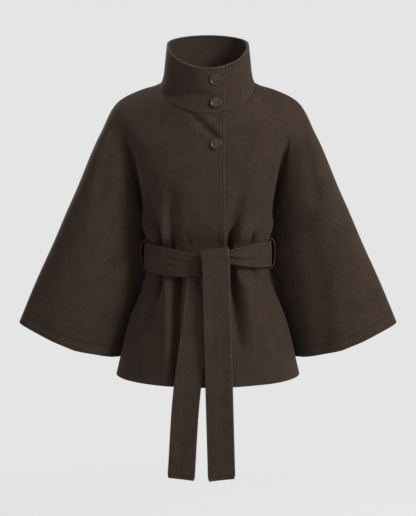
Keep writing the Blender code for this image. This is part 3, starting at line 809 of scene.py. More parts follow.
@dataclass(frozen=True)
class Oval:
    """An oval round the neck or the shoulders, its front and back higher or lower than its edges."""

    half_width: float
    front_y: float
    front_z: float
    edge_y: float
    edge_z: float
    back_y: float
    back_z: float
    fullness: float = 0.86

    def points(self, angles: Array, face: Face) -> Array:
        """Points of half the oval.

        Args:
            angles: The angles from its front or back to its edge at +X.
            face: The front or the back.

        Returns:
            The points.
        """
        front = face is Face.FRONT
        middle_y, middle_z = (self.front_y, self.front_z) if front else (self.back_y, self.back_z)
        c = np.abs(np.cos(angles))
        y = self.edge_y + (middle_y - self.edge_y) * c**self.fullness
        z = self.edge_z + (middle_z - self.edge_z) * c
        return np.stack([self.half_width * np.sin(angles), y, z], axis=1)

    def towards(self, other: "Oval", share: float) -> "Oval":
        """An oval part of the way to another."""
        names = ("half_width", "front_y", "front_z", "edge_y", "edge_z", "back_y", "back_z")
        return Oval(*(getattr(self, n) + (getattr(other, n) - getattr(self, n)) * share for n in names))


@dataclass(frozen=True)
class ArmSection:
    """A section of half a front or back and its sleeve in one sheet, with a fold between them."""

    middle: tuple[float, float]
    fold: Point
    flank: float
    rise: float
    crest: Point
    edge: Point


@dataclass(frozen=True)
class BodyRing:
    """A ring of the body below the underarm."""

    half_width: float
    side_y: float
    front_y: float
    back_y: float
    z: float
    fullness: float


@dataclass(frozen=True)
class SleeveRing:
    """A ring of a sleeve below the underarm, from its inner seam over its crests to its outer seam."""

    inner: Point
    crest_x: float
    front_y: float
    back_y: float
    crest_z: float
    edge: Point


def body_arc(middle: tuple[float, float], side: Point, angles: Array, fullness: float) -> Array:
    """A quarter of a rounded section of the body.

    Args:
        middle: Its y and z at the centre front or back.
        side: Its point at the side.
        angles: The angles from the centre to the side at which it is read.
        fullness: Under 1 makes it squarer than an ellipse, over 1 flatter.

    Returns:
        The points.
    """
    s, c = np.sin(angles), np.abs(np.cos(angles))
    y = side[1] + (middle[0] - side[1]) * c**fullness
    return np.stack([side[0] * s, y, middle[1] + (side[2] - middle[1]) * s**2], axis=1)


@dataclass
class Quarter:
    """Half a front or back with half a sleeve: its sheet and the grids of its body and its sleeve."""

    sheet: Sheet
    body: Array
    sleeve: Array

    def seam_fade(self, reach: float) -> Array:
        """How freely the cloth creases, away from its seams.

        Args:
            reach: How far from a seam the share is full.

        Returns:
            The share at each point, 0 at the seams and the fold.
        """
        points = self.sheet.points
        fade = np.ones(len(points))
        for index, ends in ((self.body, (-1,)), (self.sleeve, (0, -1))):
            for end in ends:
                away = np.linalg.norm(points[index] - points[index[:, [end]]], axis=-1)
                fade[index] = np.minimum(fade[index], smooth(away, 0.0, reach))
        return fade

    def measure(self, face: Face) -> None:
        """Writes each point's distance from the neckline, the hem and the front edge to the sheet.

        Args:
            face: The front or the back.
        """
        points = self.sheet.points
        neck, hem, edge = (np.full(len(points), FAR) for _ in range(3))
        for index in (self.body, self.sleeve):
            down = arc_lengths(points[index], 0)
            neck[index] = np.minimum(neck[index], down)
            hem[index] = np.minimum(hem[index], down[-1:] - down)
        if face is Face.FRONT:
            edge[self.body] = arc_lengths(points[self.body], 1)
        self.sheet.fields = {"from_neck": neck, "from_hem": hem, "from_edge": edge}


def joined(quarters: Sequence[Quarter]) -> tuple[Array, Array, Array]:
    """Quarters as one sheet.

    Args:
        quarters: The quarters, in order.

    Returns:
        All their points, all their quads, and the number of each one's first point.
    """
    starts = np.cumsum([0] + [len(quarter.sheet.points) for quarter in quarters])
    points = np.concatenate([quarter.sheet.points for quarter in quarters])
    quads = np.concatenate([quarter.sheet.quads + start for quarter, start in zip(quarters, starts)])
    return points, quads, starts


@dataclass
class Panels:
    """The two fronts and the back, each cut in one with its sleeves, gathered in by the belt."""

    cloth: float = 0.0026
    hem_turning: float = 0.0012
    hem_depth: tuple[float, float] = (0.0215, 0.0275)
    row_fineness: int = 5
    column_fineness: int = 7
    front_lap: float = 0.037
    lap_rise: float = 0.0017
    lap_sink: float = 0.0035
    lap_sink_fade: tuple[float, float] = (0.066, 0.100)
    lap_fade: tuple[float, float] = (0.045, 0.110)
    front_columns: int = 16
    back_columns: int = 14
    inner_columns: int = 3
    outer_columns: int = 4
    fold_angle: float = math.radians(60)
    flank_angle: float = math.radians(3)
    crest_angle: float = math.radians(78)
    inner_seam_angle: float = math.radians(12)
    fullness: float = 0.86
    inner_sleeve_fullness: float = 1.08
    yoke_rows: tuple[int, ...] = (3, 3, 3, 3)
    body_rows: tuple[int, ...] = (1, 2, 3, 4, 5)
    sleeve_rows: tuple[int, ...] = (1, 2, 3, 3)
    seam_fade: float = 0.030
    belt_zone: tuple[float, float] = (-0.430, -0.338)
    belt_zone_edge: float = 0.012
    hem_sewing: float = 0.0245
    cuff_sewing: float = 0.0135
    edge_sewing: tuple[float, float] = (0.0075, 0.0160)
    neck_sewing: float = 0.0065
    seam_bulge: float = 0.15
    plain_sleeve_columns: int = 2  # beside the fold, with the body's creases
    front_cut: Cut = Cut((0.66, 0.66), 0.30, Hold.GATHERED)
    back_cut: Cut = Cut((1.27, 0.70), 0.54, Hold.GATHERED)
    yoke: tuple[Oval, ...] = (
        Oval(0.105, -0.100, -0.062, 0.005, -0.002, 0.078, 0.014),
        Oval(0.147, -0.112, -0.112, 0.005, -0.014, 0.096, -0.040),
        Oval(0.198, -0.118, -0.150, 0.005, -0.040, 0.110, -0.095),
    )
    front_arm: tuple[ArmSection, ...] = (
        ArmSection(
            (-0.125, -0.205), (0.165, -0.030, -0.175), 0.008, 0.012,
            (0.222, -0.057, -0.155), (0.240, 0.004, -0.113),
        ),
        ArmSection(
            (-0.124, -0.285), (0.150, 0.020, -0.285), 0.006, 0.016,
            (0.252, -0.062, -0.272), (0.296, 0.002, -0.241),
        ),
    )
    back_arm: tuple[ArmSection, ...] = (
        ArmSection(
            (0.119, -0.175), (0.165, 0.058, -0.170), 0.008, -0.008,
            (0.222, 0.068, -0.153), (0.240, 0.004, -0.113),
        ),
        ArmSection(
            (0.116, -0.285), (0.150, 0.020, -0.285), 0.006, -0.016,
            (0.252, 0.078, -0.272), (0.296, 0.002, -0.241),
        ),
    )
    body: tuple[BodyRing, ...] = (
        BodyRing(0.145, -0.010, -0.119, 0.111, -0.318, 0.86),
        BodyRing(0.135, -0.008, -0.104, 0.096, -0.350, 0.88),
        BodyRing(0.136, -0.006, -0.105, 0.096, -0.419, 0.88),
        BodyRing(0.177, -0.002, -0.131, 0.124, -0.530, 0.96),
        BodyRing(0.208, 0.000, -0.152, 0.148, -0.656, 1.06),
    )
    sleeve: tuple[SleeveRing, ...] = (
        SleeveRing((0.1435, 0.046, -0.316), 0.258, -0.063, 0.084, -0.308, (0.316, 0.002, -0.285)),
        SleeveRing((0.130, 0.066, -0.385), 0.270, -0.062, 0.092, -0.378, (0.346, 0.001, -0.354)),
        SleeveRing((0.154, 0.070, -0.495), 0.288, -0.058, 0.094, -0.482, (0.388, 0.001, -0.445)),
        SleeveRing((0.190, 0.076, -0.625), 0.300, -0.055, 0.098, -0.5925, (0.427, 0.002, -0.537)),
    )
    front_creases: tuple[Crease, ...] = crease_table(
        (-139, -215, -106, -352, 14, 9, 1, 9),
        (-99, -236, -84, -352, 12, 10, -1, -5),
        (-83, -208, -67, -354, 13, 9, 1, 12),
        (79, -205, 48, -356, 12, 9, 2, 13, -4),
        (96, -235, 74, -350, 16, 12, -1, -4),
        (111, -305, 100, -346, 10, 9, 2, 7),
        (-103, -410, -157, -545, 10, 16, 9, 3, 12),
        (-88, -412, -92, -620, 13, 24, -3, -2),
        (-70, -410, -71, -690, 9, 13, 13, 6),
        (51, -402, 76, -580, 11, 18, 15, 4, -2),
        (76, -560, 92, -690, 16, 20, 3, 6),
        (80, -410, 131, -560, 14, 22, -3, -4),
        (104, -405, 114, -465, 9, 12, 7, 1),
        (112, -540, 118, -690, 18, 20, 2, 6),
        (-50, -52, 18, -112, 10, 8, 1, 5),
    )
    back_creases: tuple[Crease, ...] = crease_table(
        (-112, -225, -88, -352, 14, 10, 1, 9),
        (-50, -205, -40, -354, 15, 10, 1, 11, 2),
        (-14, -262, -8, -352, 12, 11, -1, -4),
        (26, -240, 22, -354, 13, 10, 1, 9),
        (98, -195, 74, -352, 15, 10, 1, 11, -3),
        (-98, -408, -140, -600, 11, 17, 10, 3, 6),
        (-40, -408, -56, -690, 10, 16, 12, 8),
        (-8, -412, -12, -560, 12, 20, -3, -3),
        (20, -408, 26, -585, 10, 16, 11, 2),
        (72, -408, 104, -690, 11, 17, 13, 7, -4),
    )
    sleeve_creases: tuple[Crease, ...] = crease_table(
        (215, -80, 238, -260, 12, 14, 2, 4),
        (222, -300, 262, -640, 18, 26, 2, 6, 6),
        (296, -330, 352, -600, 24, 30, -1, -5),
    )
    small_front_creases: tuple[Crease, ...] = crease_table(
        (-105, -52, -108, -100, 7, 8, 1.5, 0.5),
        (44, -78, 66, -64, 6, 6, 2.5, 1),
        (-30, -293, 2, -320, 7, 6, 0.6, 1.2),
        (-52, -300, -40, -350, 6, 5, 0.5, 3),
        (-122, -300, -120, -348, 7, 6, 0.5, 3.5),
        (126, -296, 121, -345, 8, 6, 0.5, 3.5),
        (20, -318, 26, -352, 6, 5, 0.2, 2.2),
        (-52, -416, -50, -470, 6, 8, 4, 0.5),
        (-121, -416, -134, -470, 7, 10, 4.5, 0.5),
        (124, -410, 142, -470, 8, 11, 4.5, 0.5),
        (86, -405, 92, -440, 6, 8, 3.5, 0.5),
        (-121, -262, -105.5, -375, 8, 5, 0.2, 19, 0, 0.8),
        (-86, -250, -77, -378, 8, 5, 0.2, 21, 0, 0.8),
        (-99, -280, -91.5, -352, 8, 8, -0.8, -4),
        (81, -258, 45, -375, 8, 5.5, 0.5, 18, -3, 0.8),
        (104, -300, 97, -368, 6, 4.5, 0.2, 9.5, 0, 0.8),
        (-103, -385, -119, -475, 5.5, 10, 18, 2, 0, 0.8),
        (-107, -400, -154, -540, 6, 10, 11, 4, 10, 0.7),
        (-66, -400, -64, -470, 10, 14, 8, 1),
        (-64, -385, -72.5, -690, 12, 8, 20, 2, 0, 0.7),
        (50, -382, 74.5, -580, 11, 14, 12, 4, 0, 0.7),
        (98.5, -382, 110, -440, 5, 8, 13, 1, 0, 0.8),
        (-46, -52, 20, -114, 8, 7, 1.6, 4.5, -2),
        (-110, -40, 4, -72, 7, 6, -0.5, -1.8, -6),
        (12, -74, 32, -70, 5, 5, 3, 4),
    )
    small_back_creases: tuple[Crease, ...] = crease_table(
        (-75, -290, -66, -352, 8, 7, 0.5, 5),
        (50, -285, 46, -352, 8, 7, 0.5, 5.5),
        (118, -290, 108, -350, 9, 8, 0.5, 4.5),
        (-70, -412, -84, -490, 7, 11, 5.5, 0.5),
        (46, -412, 58, -500, 7, 11, 5.5, 0.5),
        (112, -410, 134, -480, 8, 12, 5, 0.5),
        (-62, -80, 58, -88, 12, 12, 1.2, 1, 10),
        (-128, -120, -70, -180, 12, 14, 1.5, 1),
        (124, -112, 80, -185, 12, 14, 1.5, 1),
    )

    def columns(self, face: Face) -> int:
        """Coarse columns from the centre to the fold beside the arm."""
        return self.front_columns if face is Face.FRONT else self.back_columns

    def first_angle(self, face: Face, half_width: float) -> float:
        """The angle of the first column, at the edge of the lap or at the centre back."""
        return -math.asin(self.front_lap / half_width) if face is Face.FRONT else 0.0

    def sleeve_arc(self, inner: Point, crest: Point, edge: Point, turns: Array) -> Array:
        """Points of half a sleeve's section.

        Args:
            inner: Its inner point.
            crest: Its foremost or rearmost point.
            edge: Its outer point.
            turns: 0 at the inner point, 1 at the crest and 2 at the outer point.

        Returns:
            The points.
        """
        inner, crest, edge = (np.array(p) for p in (inner, crest, edge))
        a = np.minimum(turns, 1) * math.pi / 2
        b = np.maximum(turns - 1, 0) * math.pi / 2
        run = 1 - np.abs(np.cos(a)) ** self.inner_sleeve_fullness
        over = np.sin(a) ** self.inner_sleeve_fullness
        out, down = np.sin(b), 1 - np.abs(np.cos(b)) ** self.fullness
        inside = inner + (crest - inner) * np.stack([run, over, run], axis=1)
        outside = crest + (edge - crest) * np.stack([out, down, out], axis=1)
        return np.where((turns <= 1)[:, None], inside, outside)

    def sleeve_turns(self, d: Array, start: float) -> Array:
        """Turns round half a sleeve for its columns.

        Args:
            d: The sleeve's column coordinates.
            start: The turn at column 1.

        Returns:
            0 at the inner point, 1 at the crest and 2 at the outer point.
        """
        inner, outer = self.inner_columns, self.outer_columns
        turns = np.where(d <= 1, start * d, start + (1 - start) * (d - 1) / inner)
        return np.where(d > 1 + inner, 1 + (d - 1 - inner) / outer, turns)

    def arm_section(self, face: Face, row: ArmSection, c: Array, d: Array) -> tuple[Array, Array]:
        """The body's and the sleeve's points of a section through the fold beside the arm.

        Args:
            face: The front or the back.
            row: The section.
            c: The body's column coordinates.
            d: The sleeve's column coordinates, counted from the fold.

        Returns:
            The body's points and the sleeve's points.
        """
        count = self.columns(face)
        fold = np.array(row.fold)
        near = fold - [row.flank, row.rise, 0]
        far = fold + [row.flank, -row.rise, 0]
        first = self.first_angle(face, near[0])
        angles = first + (math.pi / 2 - first) * np.minimum(c / count, 1)
        arc = body_arc(row.middle, near, angles, self.fullness)
        s = c - count - 1
        bend = fold + np.stack([s * row.flank, -row.rise * s**2, 0 * s], axis=1)
        body = np.where((c <= count)[:, None], arc, bend)
        bend = fold + np.stack([d * row.flank, -row.rise * d**2, 0 * d], axis=1)
        arc = self.sleeve_arc(far, row.crest, row.edge, self.sleeve_turns(np.maximum(d, 1), 0.0))
        return body, np.where((d <= 1)[:, None], bend, arc)

    def oval_section(self, face: Face, oval: Oval, c: Array, d: Array) -> tuple[Array, Array]:
        """The body's and the sleeve's points of a level oval of the yoke.

        Args:
            face: The front or the back.
            oval: The oval.
            c: The body's column coordinates.
            d: The sleeve's column coordinates, counted from the fold.

        Returns:
            The body's points and the sleeve's points.
        """
        count, inner, outer = self.columns(face), self.inner_columns, self.outer_columns
        knots = [0, count, count + 1, count + 2, count + 2 + inner, count + 2 + inner + outer]
        near, far = self.fold_angle - self.flank_angle, self.fold_angle + self.flank_angle
        first = self.first_angle(face, oval.half_width)
        angles = [first, near, self.fold_angle, far, self.crest_angle, math.pi / 2]
        body = np.interp(c, knots, angles)
        sleeve = np.interp(d + count + 1, knots, angles)
        return oval.points(body, face), oval.points(sleeve, face)

    def quarter(self, face: Face, side: Side) -> Quarter:
        """Builds the plain sheet of half a front or back with half a sleeve.

        Args:
            face: The front or the back.
            side: The wearer's side.

        Returns:
            The quarter, before its creases.
        """
        count, fine = self.columns(face) + 1, self.row_fineness
        sleeve_count = 1 + self.inner_columns + self.outer_columns
        c = np.linspace(0, count, count * self.column_fineness + 1)
        d = np.linspace(0, sleeve_count, sleeve_count * self.column_fineness + 1)
        upper = [self.oval_section(face, oval, c, d) for oval in self.yoke]
        arms = self.front_arm if face is Face.FRONT else self.back_arm
        upper += [self.arm_section(face, row, c, d) for row in arms]
        bodies, sleeves = [list(part) for part in zip(*upper)]
        for ring in self.body:
            first = self.first_angle(face, ring.half_width)
            middle = (ring.front_y if face is Face.FRONT else ring.back_y, ring.z)
            angles = first + (math.pi / 2 - first) * c / count
            bodies.append(body_arc(middle, (ring.half_width, ring.side_y, ring.z), angles, ring.fullness))
        turns = self.sleeve_turns(d, self.inner_seam_angle / (math.pi / 2))
        for ring in self.sleeve:
            crest = (ring.crest_x, ring.front_y if face is Face.FRONT else ring.back_y, ring.crest_z)
            sleeves.append(self.sleeve_arc(ring.inner, crest, ring.edge, turns))
        body = through(np.array(bodies), row_parameters(self.yoke_rows + self.body_rows, fine))
        sleeve = through(np.array(sleeves), row_parameters(self.yoke_rows + self.sleeve_rows, fine))
        split = sum(self.yoke_rows) * fine
        body_index = grid_index(body)
        sleeve_index = grid_index(sleeve) + body_index.size
        points = np.concatenate([body.reshape(-1, 3), sleeve.reshape(-1, 3)])
        sleeve_index[: split + 1, 0] = body_index[: split + 1, -1]
        every = np.concatenate([body_index.ravel(), sleeve_index.ravel()])
        used, number = np.unique(every, return_inverse=True)
        number = number.reshape(-1)
        body_index = number[: body_index.size].reshape(body_index.shape)
        sleeve_index = number[body_index.size :].reshape(sleeve_index.shape)
        points = points[used] * [side.value, 1, 1]
        quads = np.concatenate([grid_quads(body_index), grid_quads(sleeve_index)])
        if (side is Side.LEFT) == (face is Face.FRONT):
            quads = quads[:, ::-1]
        return Quarter(Sheet(points, quads, normals_of(points, quads)), body_index, sleeve_index)

    def under_belt(self, z: Array) -> Array:
        """1 where the belt presses ridges flat and 0 elsewhere."""
        low, high, edge = *self.belt_zone, self.belt_zone_edge
        return smooth(z, low - edge, low + edge) * (1 - smooth(z, high - edge, high + edge))

    def crease(self, quarter: Quarter, face: Face, side: Side, lap: Lap) -> None:
        """Presses the creases into a quarter and lays its lap over or under the other front.

        Args:
            quarter: The quarter to change.
            face: The front or the back.
            side: The wearer's side.
            lap: How it lies at the closing.
        """
        sheet = quarter.sheet
        points = sheet.points
        own = self.front_creases + self.small_front_creases
        if face is Face.BACK:
            own = self.back_creases + self.small_back_creases
        depth = pressed(points, own)
        depth = np.where(depth < 0, depth * (1 - self.under_belt(points[:, 2])), depth)
        in_sleeve = np.zeros(len(points), bool)
        in_sleeve[quarter.sleeve[:, self.plain_sleeve_columns * self.column_fineness :]] = True
        on_sleeve = pressed(points, [crease.mirrored(side) for crease in self.sleeve_creases])
        depth = np.where(in_sleeve, on_sleeve, depth) * quarter.seam_fade(self.seam_fade)
        share = 1 - smooth(points[:, 0] * side.value, *self.lap_fade)
        sink = self.lap_rise + self.lap_sink * smooth(-points[:, 2], *self.lap_sink_fade)
        rise = {Lap.OVER: self.lap_rise * share, Lap.UNDER: -sink * share, Lap.NONE: 0 * share}[lap]
        sheet.points = points + sheet.normals * (rise - depth)[:, None]

    def sewing(self, quarter: Quarter, lap: Lap) -> list[tuple[Array, Array]]:
        """The lines of topstitching on a quarter.

        Args:
            quarter: The quarter, creased.
            lap: How it lies at the closing.

        Returns:
            Each line's points and normals.
        """
        points, normals = quarter.sheet.points, quarter.sheet.normals
        body, sleeve = ((points[index], normals[index]) for index in (quarter.body, quarter.sleeve))
        lines = [
            line_beside(*body, 0, self.hem_sewing, True),
            line_beside(*sleeve, 0, self.cuff_sewing, True),
            line_beside(*body, 0, self.neck_sewing, False),
            line_beside(*sleeve, 0, self.neck_sewing, False),
        ]
        if lap is Lap.OVER:
            lines += [line_beside(*body, 1, distance, False) for distance in self.edge_sewing]
        return lines

    def build(self, thread: bpy.types.Material) -> None:
        """Builds the three panels with their sewing.

        Args:
            thread: The finish of the stitches.
        """
        plan = [
            (Face.FRONT, Side.RIGHT, Lap.OVER),
            (Face.FRONT, Side.LEFT, Lap.UNDER),
            (Face.BACK, Side.RIGHT, Lap.NONE),
            (Face.BACK, Side.LEFT, Lap.NONE),
        ]
        quarters = []
        for face, side, lap in plan:
            quarter = self.quarter(face, side)
            self.crease(quarter, face, side, lap)
            quarters.append(quarter)
        points, quads, starts = joined(quarters)
        normals = normals_of(points, quads)
        for (face, _, _), quarter, start in zip(plan, quarters, starts):
            sheet = quarter.sheet
            sheet.normals = normals[start : start + len(sheet.points)]
            sheet.normals[quarter.sleeve[:, -1], 1] = 0
            sheet.normals = unit(sheet.normals)
            quarter.measure(face)
        for name, node, face, lap, members in (
            ("right_front", "front_right", Face.FRONT, Lap.OVER, quarters[:1]),
            ("left_front", "front_left", Face.FRONT, Lap.UNDER, quarters[1:2]),
            ("back_panel", "back", Face.BACK, Lap.NONE, quarters[2:]),
        ):
            item, sewing = self.panel(name, face, lap, members, thread)
            declare(item, node, [sewing])

    def panel(
        self, name: str, face: Face, lap: Lap, quarters: Sequence[Quarter], thread: bpy.types.Material
    ) -> tuple[bpy.types.Object, bpy.types.Object]:
        """Joins quarters to one panel, gives it its wall and sews it.

        Args:
            name: The new object's name.
            face: The front or the back.
            lap: How it lies at the closing.
            quarters: The quarters it is cut from.
            thread: The finish of the stitches.

        Returns:
            The panel and its stitches.
        """
        points, quads, _ = joined(quarters)
        rounded = np.round(points, SAME_PLACE)
        _, first, number = np.unique(rounded, axis=0, return_index=True, return_inverse=True)
        fields = {
            key: np.concatenate([quarter.sheet.fields[key] for quarter in quarters])[first]
            for key in quarters[0].sheet.fields
        }
        normals = np.concatenate([quarter.sheet.normals for quarter in quarters])[first]
        sheet = Sheet(points[first], number.reshape(-1)[quads], normals, fields)
        sheet.edge_bulge = np.where(fields["from_neck"] < AT_EDGE, self.seam_bulge, sheet.edge_bulge)
        thickness = self.cloth + self.hem_turning * (1 - smooth(fields["from_hem"], *self.hem_depth))
        lines = [SewnLine("from_hem", self.hem_sewing), SewnLine("from_neck", self.neck_sewing)]
        edges = ["from_hem"]
        if lap is Lap.OVER:
            lines += [SewnLine("from_edge", distance) for distance in self.edge_sewing]
        if face is Face.FRONT:
            edges.append("from_edge")
        wool = WoolFinish(f"wool_{name}", tuple(lines), edges=tuple(edges)).material()
        runs = [line for quarter in quarters for line in self.sewing(quarter, lap)]
        return sheet.shell(name, thickness, wool), Stitching().build(f"{name}_stitches", runs, thread)


@dataclass
class Collar:
    """The funnel collar: one band of double cloth round the neckline, its ends lapped at the front."""

    neck: Oval
    lap_fade: tuple[float, float]
    lap_rise: float
    cloth: float = 0.0050
    rim: Oval = Oval(0.0900, -0.088, 0.0365, 0.000, 0.089, 0.078, 0.1055)
    rows: int = 40
    columns: int = 276
    lap: tuple[float, float] = (0.036, 0.043)
    rise: float = 0.0030
    fade: float = math.radians(55)
    seam_gap: float = 0.0001
    seam_bulge: float = 0.15
    hollow: float = 0.005
    front_hollow: float = 0.009
    hollow_at: float = 0.38
    rim_sewing: float = 0.0068
    end_sewing: float = 0.0075
    cut: Cut = Cut((0.72, 0.115), 0.064, Hold.FOLDED)
    creases: tuple[Crease, ...] = crease_table(
        (-94, -24, 6, -22, 10, 8, 4, 2.8, 2),
        (-70, -36, -20, -46, 8, 6, 0.4, 1),
        (50, 12, 90, 0, 8, 10, 0.6, 1),
        (-58, 45, -62, -25, 26, 28, 6, 6),
        (60, 55, 66, 0, 12, 12, 0.8, 0.6),
    )

    def level(self, share: float) -> Array:
        """Points of the collar at a share of its height.

        Args:
            share: 0 at the seam and 1 at the rim.

        Returns:
            The points, from the lower end round the back to the upper end.
        """
        oval = self.neck.towards(self.rim, share)
        reach = self.lap[0] + (self.lap[1] - self.lap[0]) * share
        end = math.asin(reach / oval.half_width)
        turn = np.linspace(-end, 2 * math.pi + end, self.columns + 1)
        front = np.abs(turn - math.pi) > math.pi / 2
        angles = np.where(front, turn, math.pi - turn)
        points = np.where(front[:, None], oval.points(angles, Face.FRONT), oval.points(angles, Face.BACK))
        on_lap = np.where(turn > math.pi / 2, 1 - smooth(-points[:, 0], *self.lap_fade), 0.0)
        on_lap = np.where(points[:, 1] < oval.edge_y, on_lap, 0.0)
        points[:, 2] += (self.seam_gap + self.lap_rise * on_lap) * (1 - share)
        frontness = np.where(np.cos(turn) > 0, np.cos(turn) ** 2, 0.0)
        hollow = self.hollow + (self.front_hollow - self.hollow) * frontness
        hollow = hollow * (share / self.hollow_at) * math.exp(1 - share / self.hollow_at) * (1 - share)
        lower = 1 - smooth(turn, end, self.fade)
        upper = smooth(turn, 2 * math.pi - self.fade, 2 * math.pi - end)
        centre = np.array([0, (oval.front_y + oval.back_y) / 2, 0])
        outward = unit((points - centre) * [1, 1, 0])
        return points + outward * (self.rise * (upper - lower) - hollow)[:, None]

    def build(self, thread: bpy.types.Material) -> None:
        """Builds the collar with its sewing.

        Args:
            thread: The finish of the stitches.
        """
        grid = np.array([self.level(share) for share in np.linspace(0, 1, self.rows + 1)])
        points, quads = grid_sheet(grid)
        points = creased(points, quads, self.creases, front_only=True)
        grid = points.reshape(grid.shape)
        height, run = arc_lengths(grid, 0), arc_lengths(grid, 1)
        fields = {
            "from_rim": (height[-1:] - height).ravel(),
            "from_end": np.minimum(run, run[:, -1:] - run).ravel(),
        }
        sheet = Sheet(points, quads, normals_of(points, quads), fields)
        sheet.edge_bulge = np.where(height.ravel() < AT_EDGE, self.seam_bulge, sheet.edge_bulge)
        lines = (SewnLine("from_rim", self.rim_sewing), SewnLine("from_end", self.end_sewing))
        wool = WoolFinish("wool_collar", lines, edges=("from_rim", "from_end")).material()
        item = sheet.shell("funnel_collar", self.cloth, wool)
        facing = sheet.normals.reshape(grid.shape)
        inside = (grid - facing * self.cloth, -facing)
        runs = [
            line_beside(grid, facing, 0, self.rim_sewing, True),
            line_beside(*inside, 0, self.rim_sewing, True),
            line_beside(grid, facing, 1, self.end_sewing, True),
        ]
        sewing = Stitching().build("funnel_collar_stitches", runs, thread)
        declare(item, "collar", [sewing])


@dataclass(frozen=True)
class BeltStation:
    """A place on the belt round the waist: its turn from front to +X, its edges and its stand-off."""

    turn: float
    z_top: float
    z_bottom: float
    off: float


@dataclass(frozen=True)
class BeltEnd:
    """A hanging end of the belt.

    Its slant is how far its bottom edge rises towards +X at each corner. Its edge at -X hangs behind the
    other by the turn, and starts lower by the drop.
    """

    name: str
    node: str
    route: tuple[Point, ...]
    slant: float
    turn: float
    drop: float
    creases: tuple[Crease, ...]


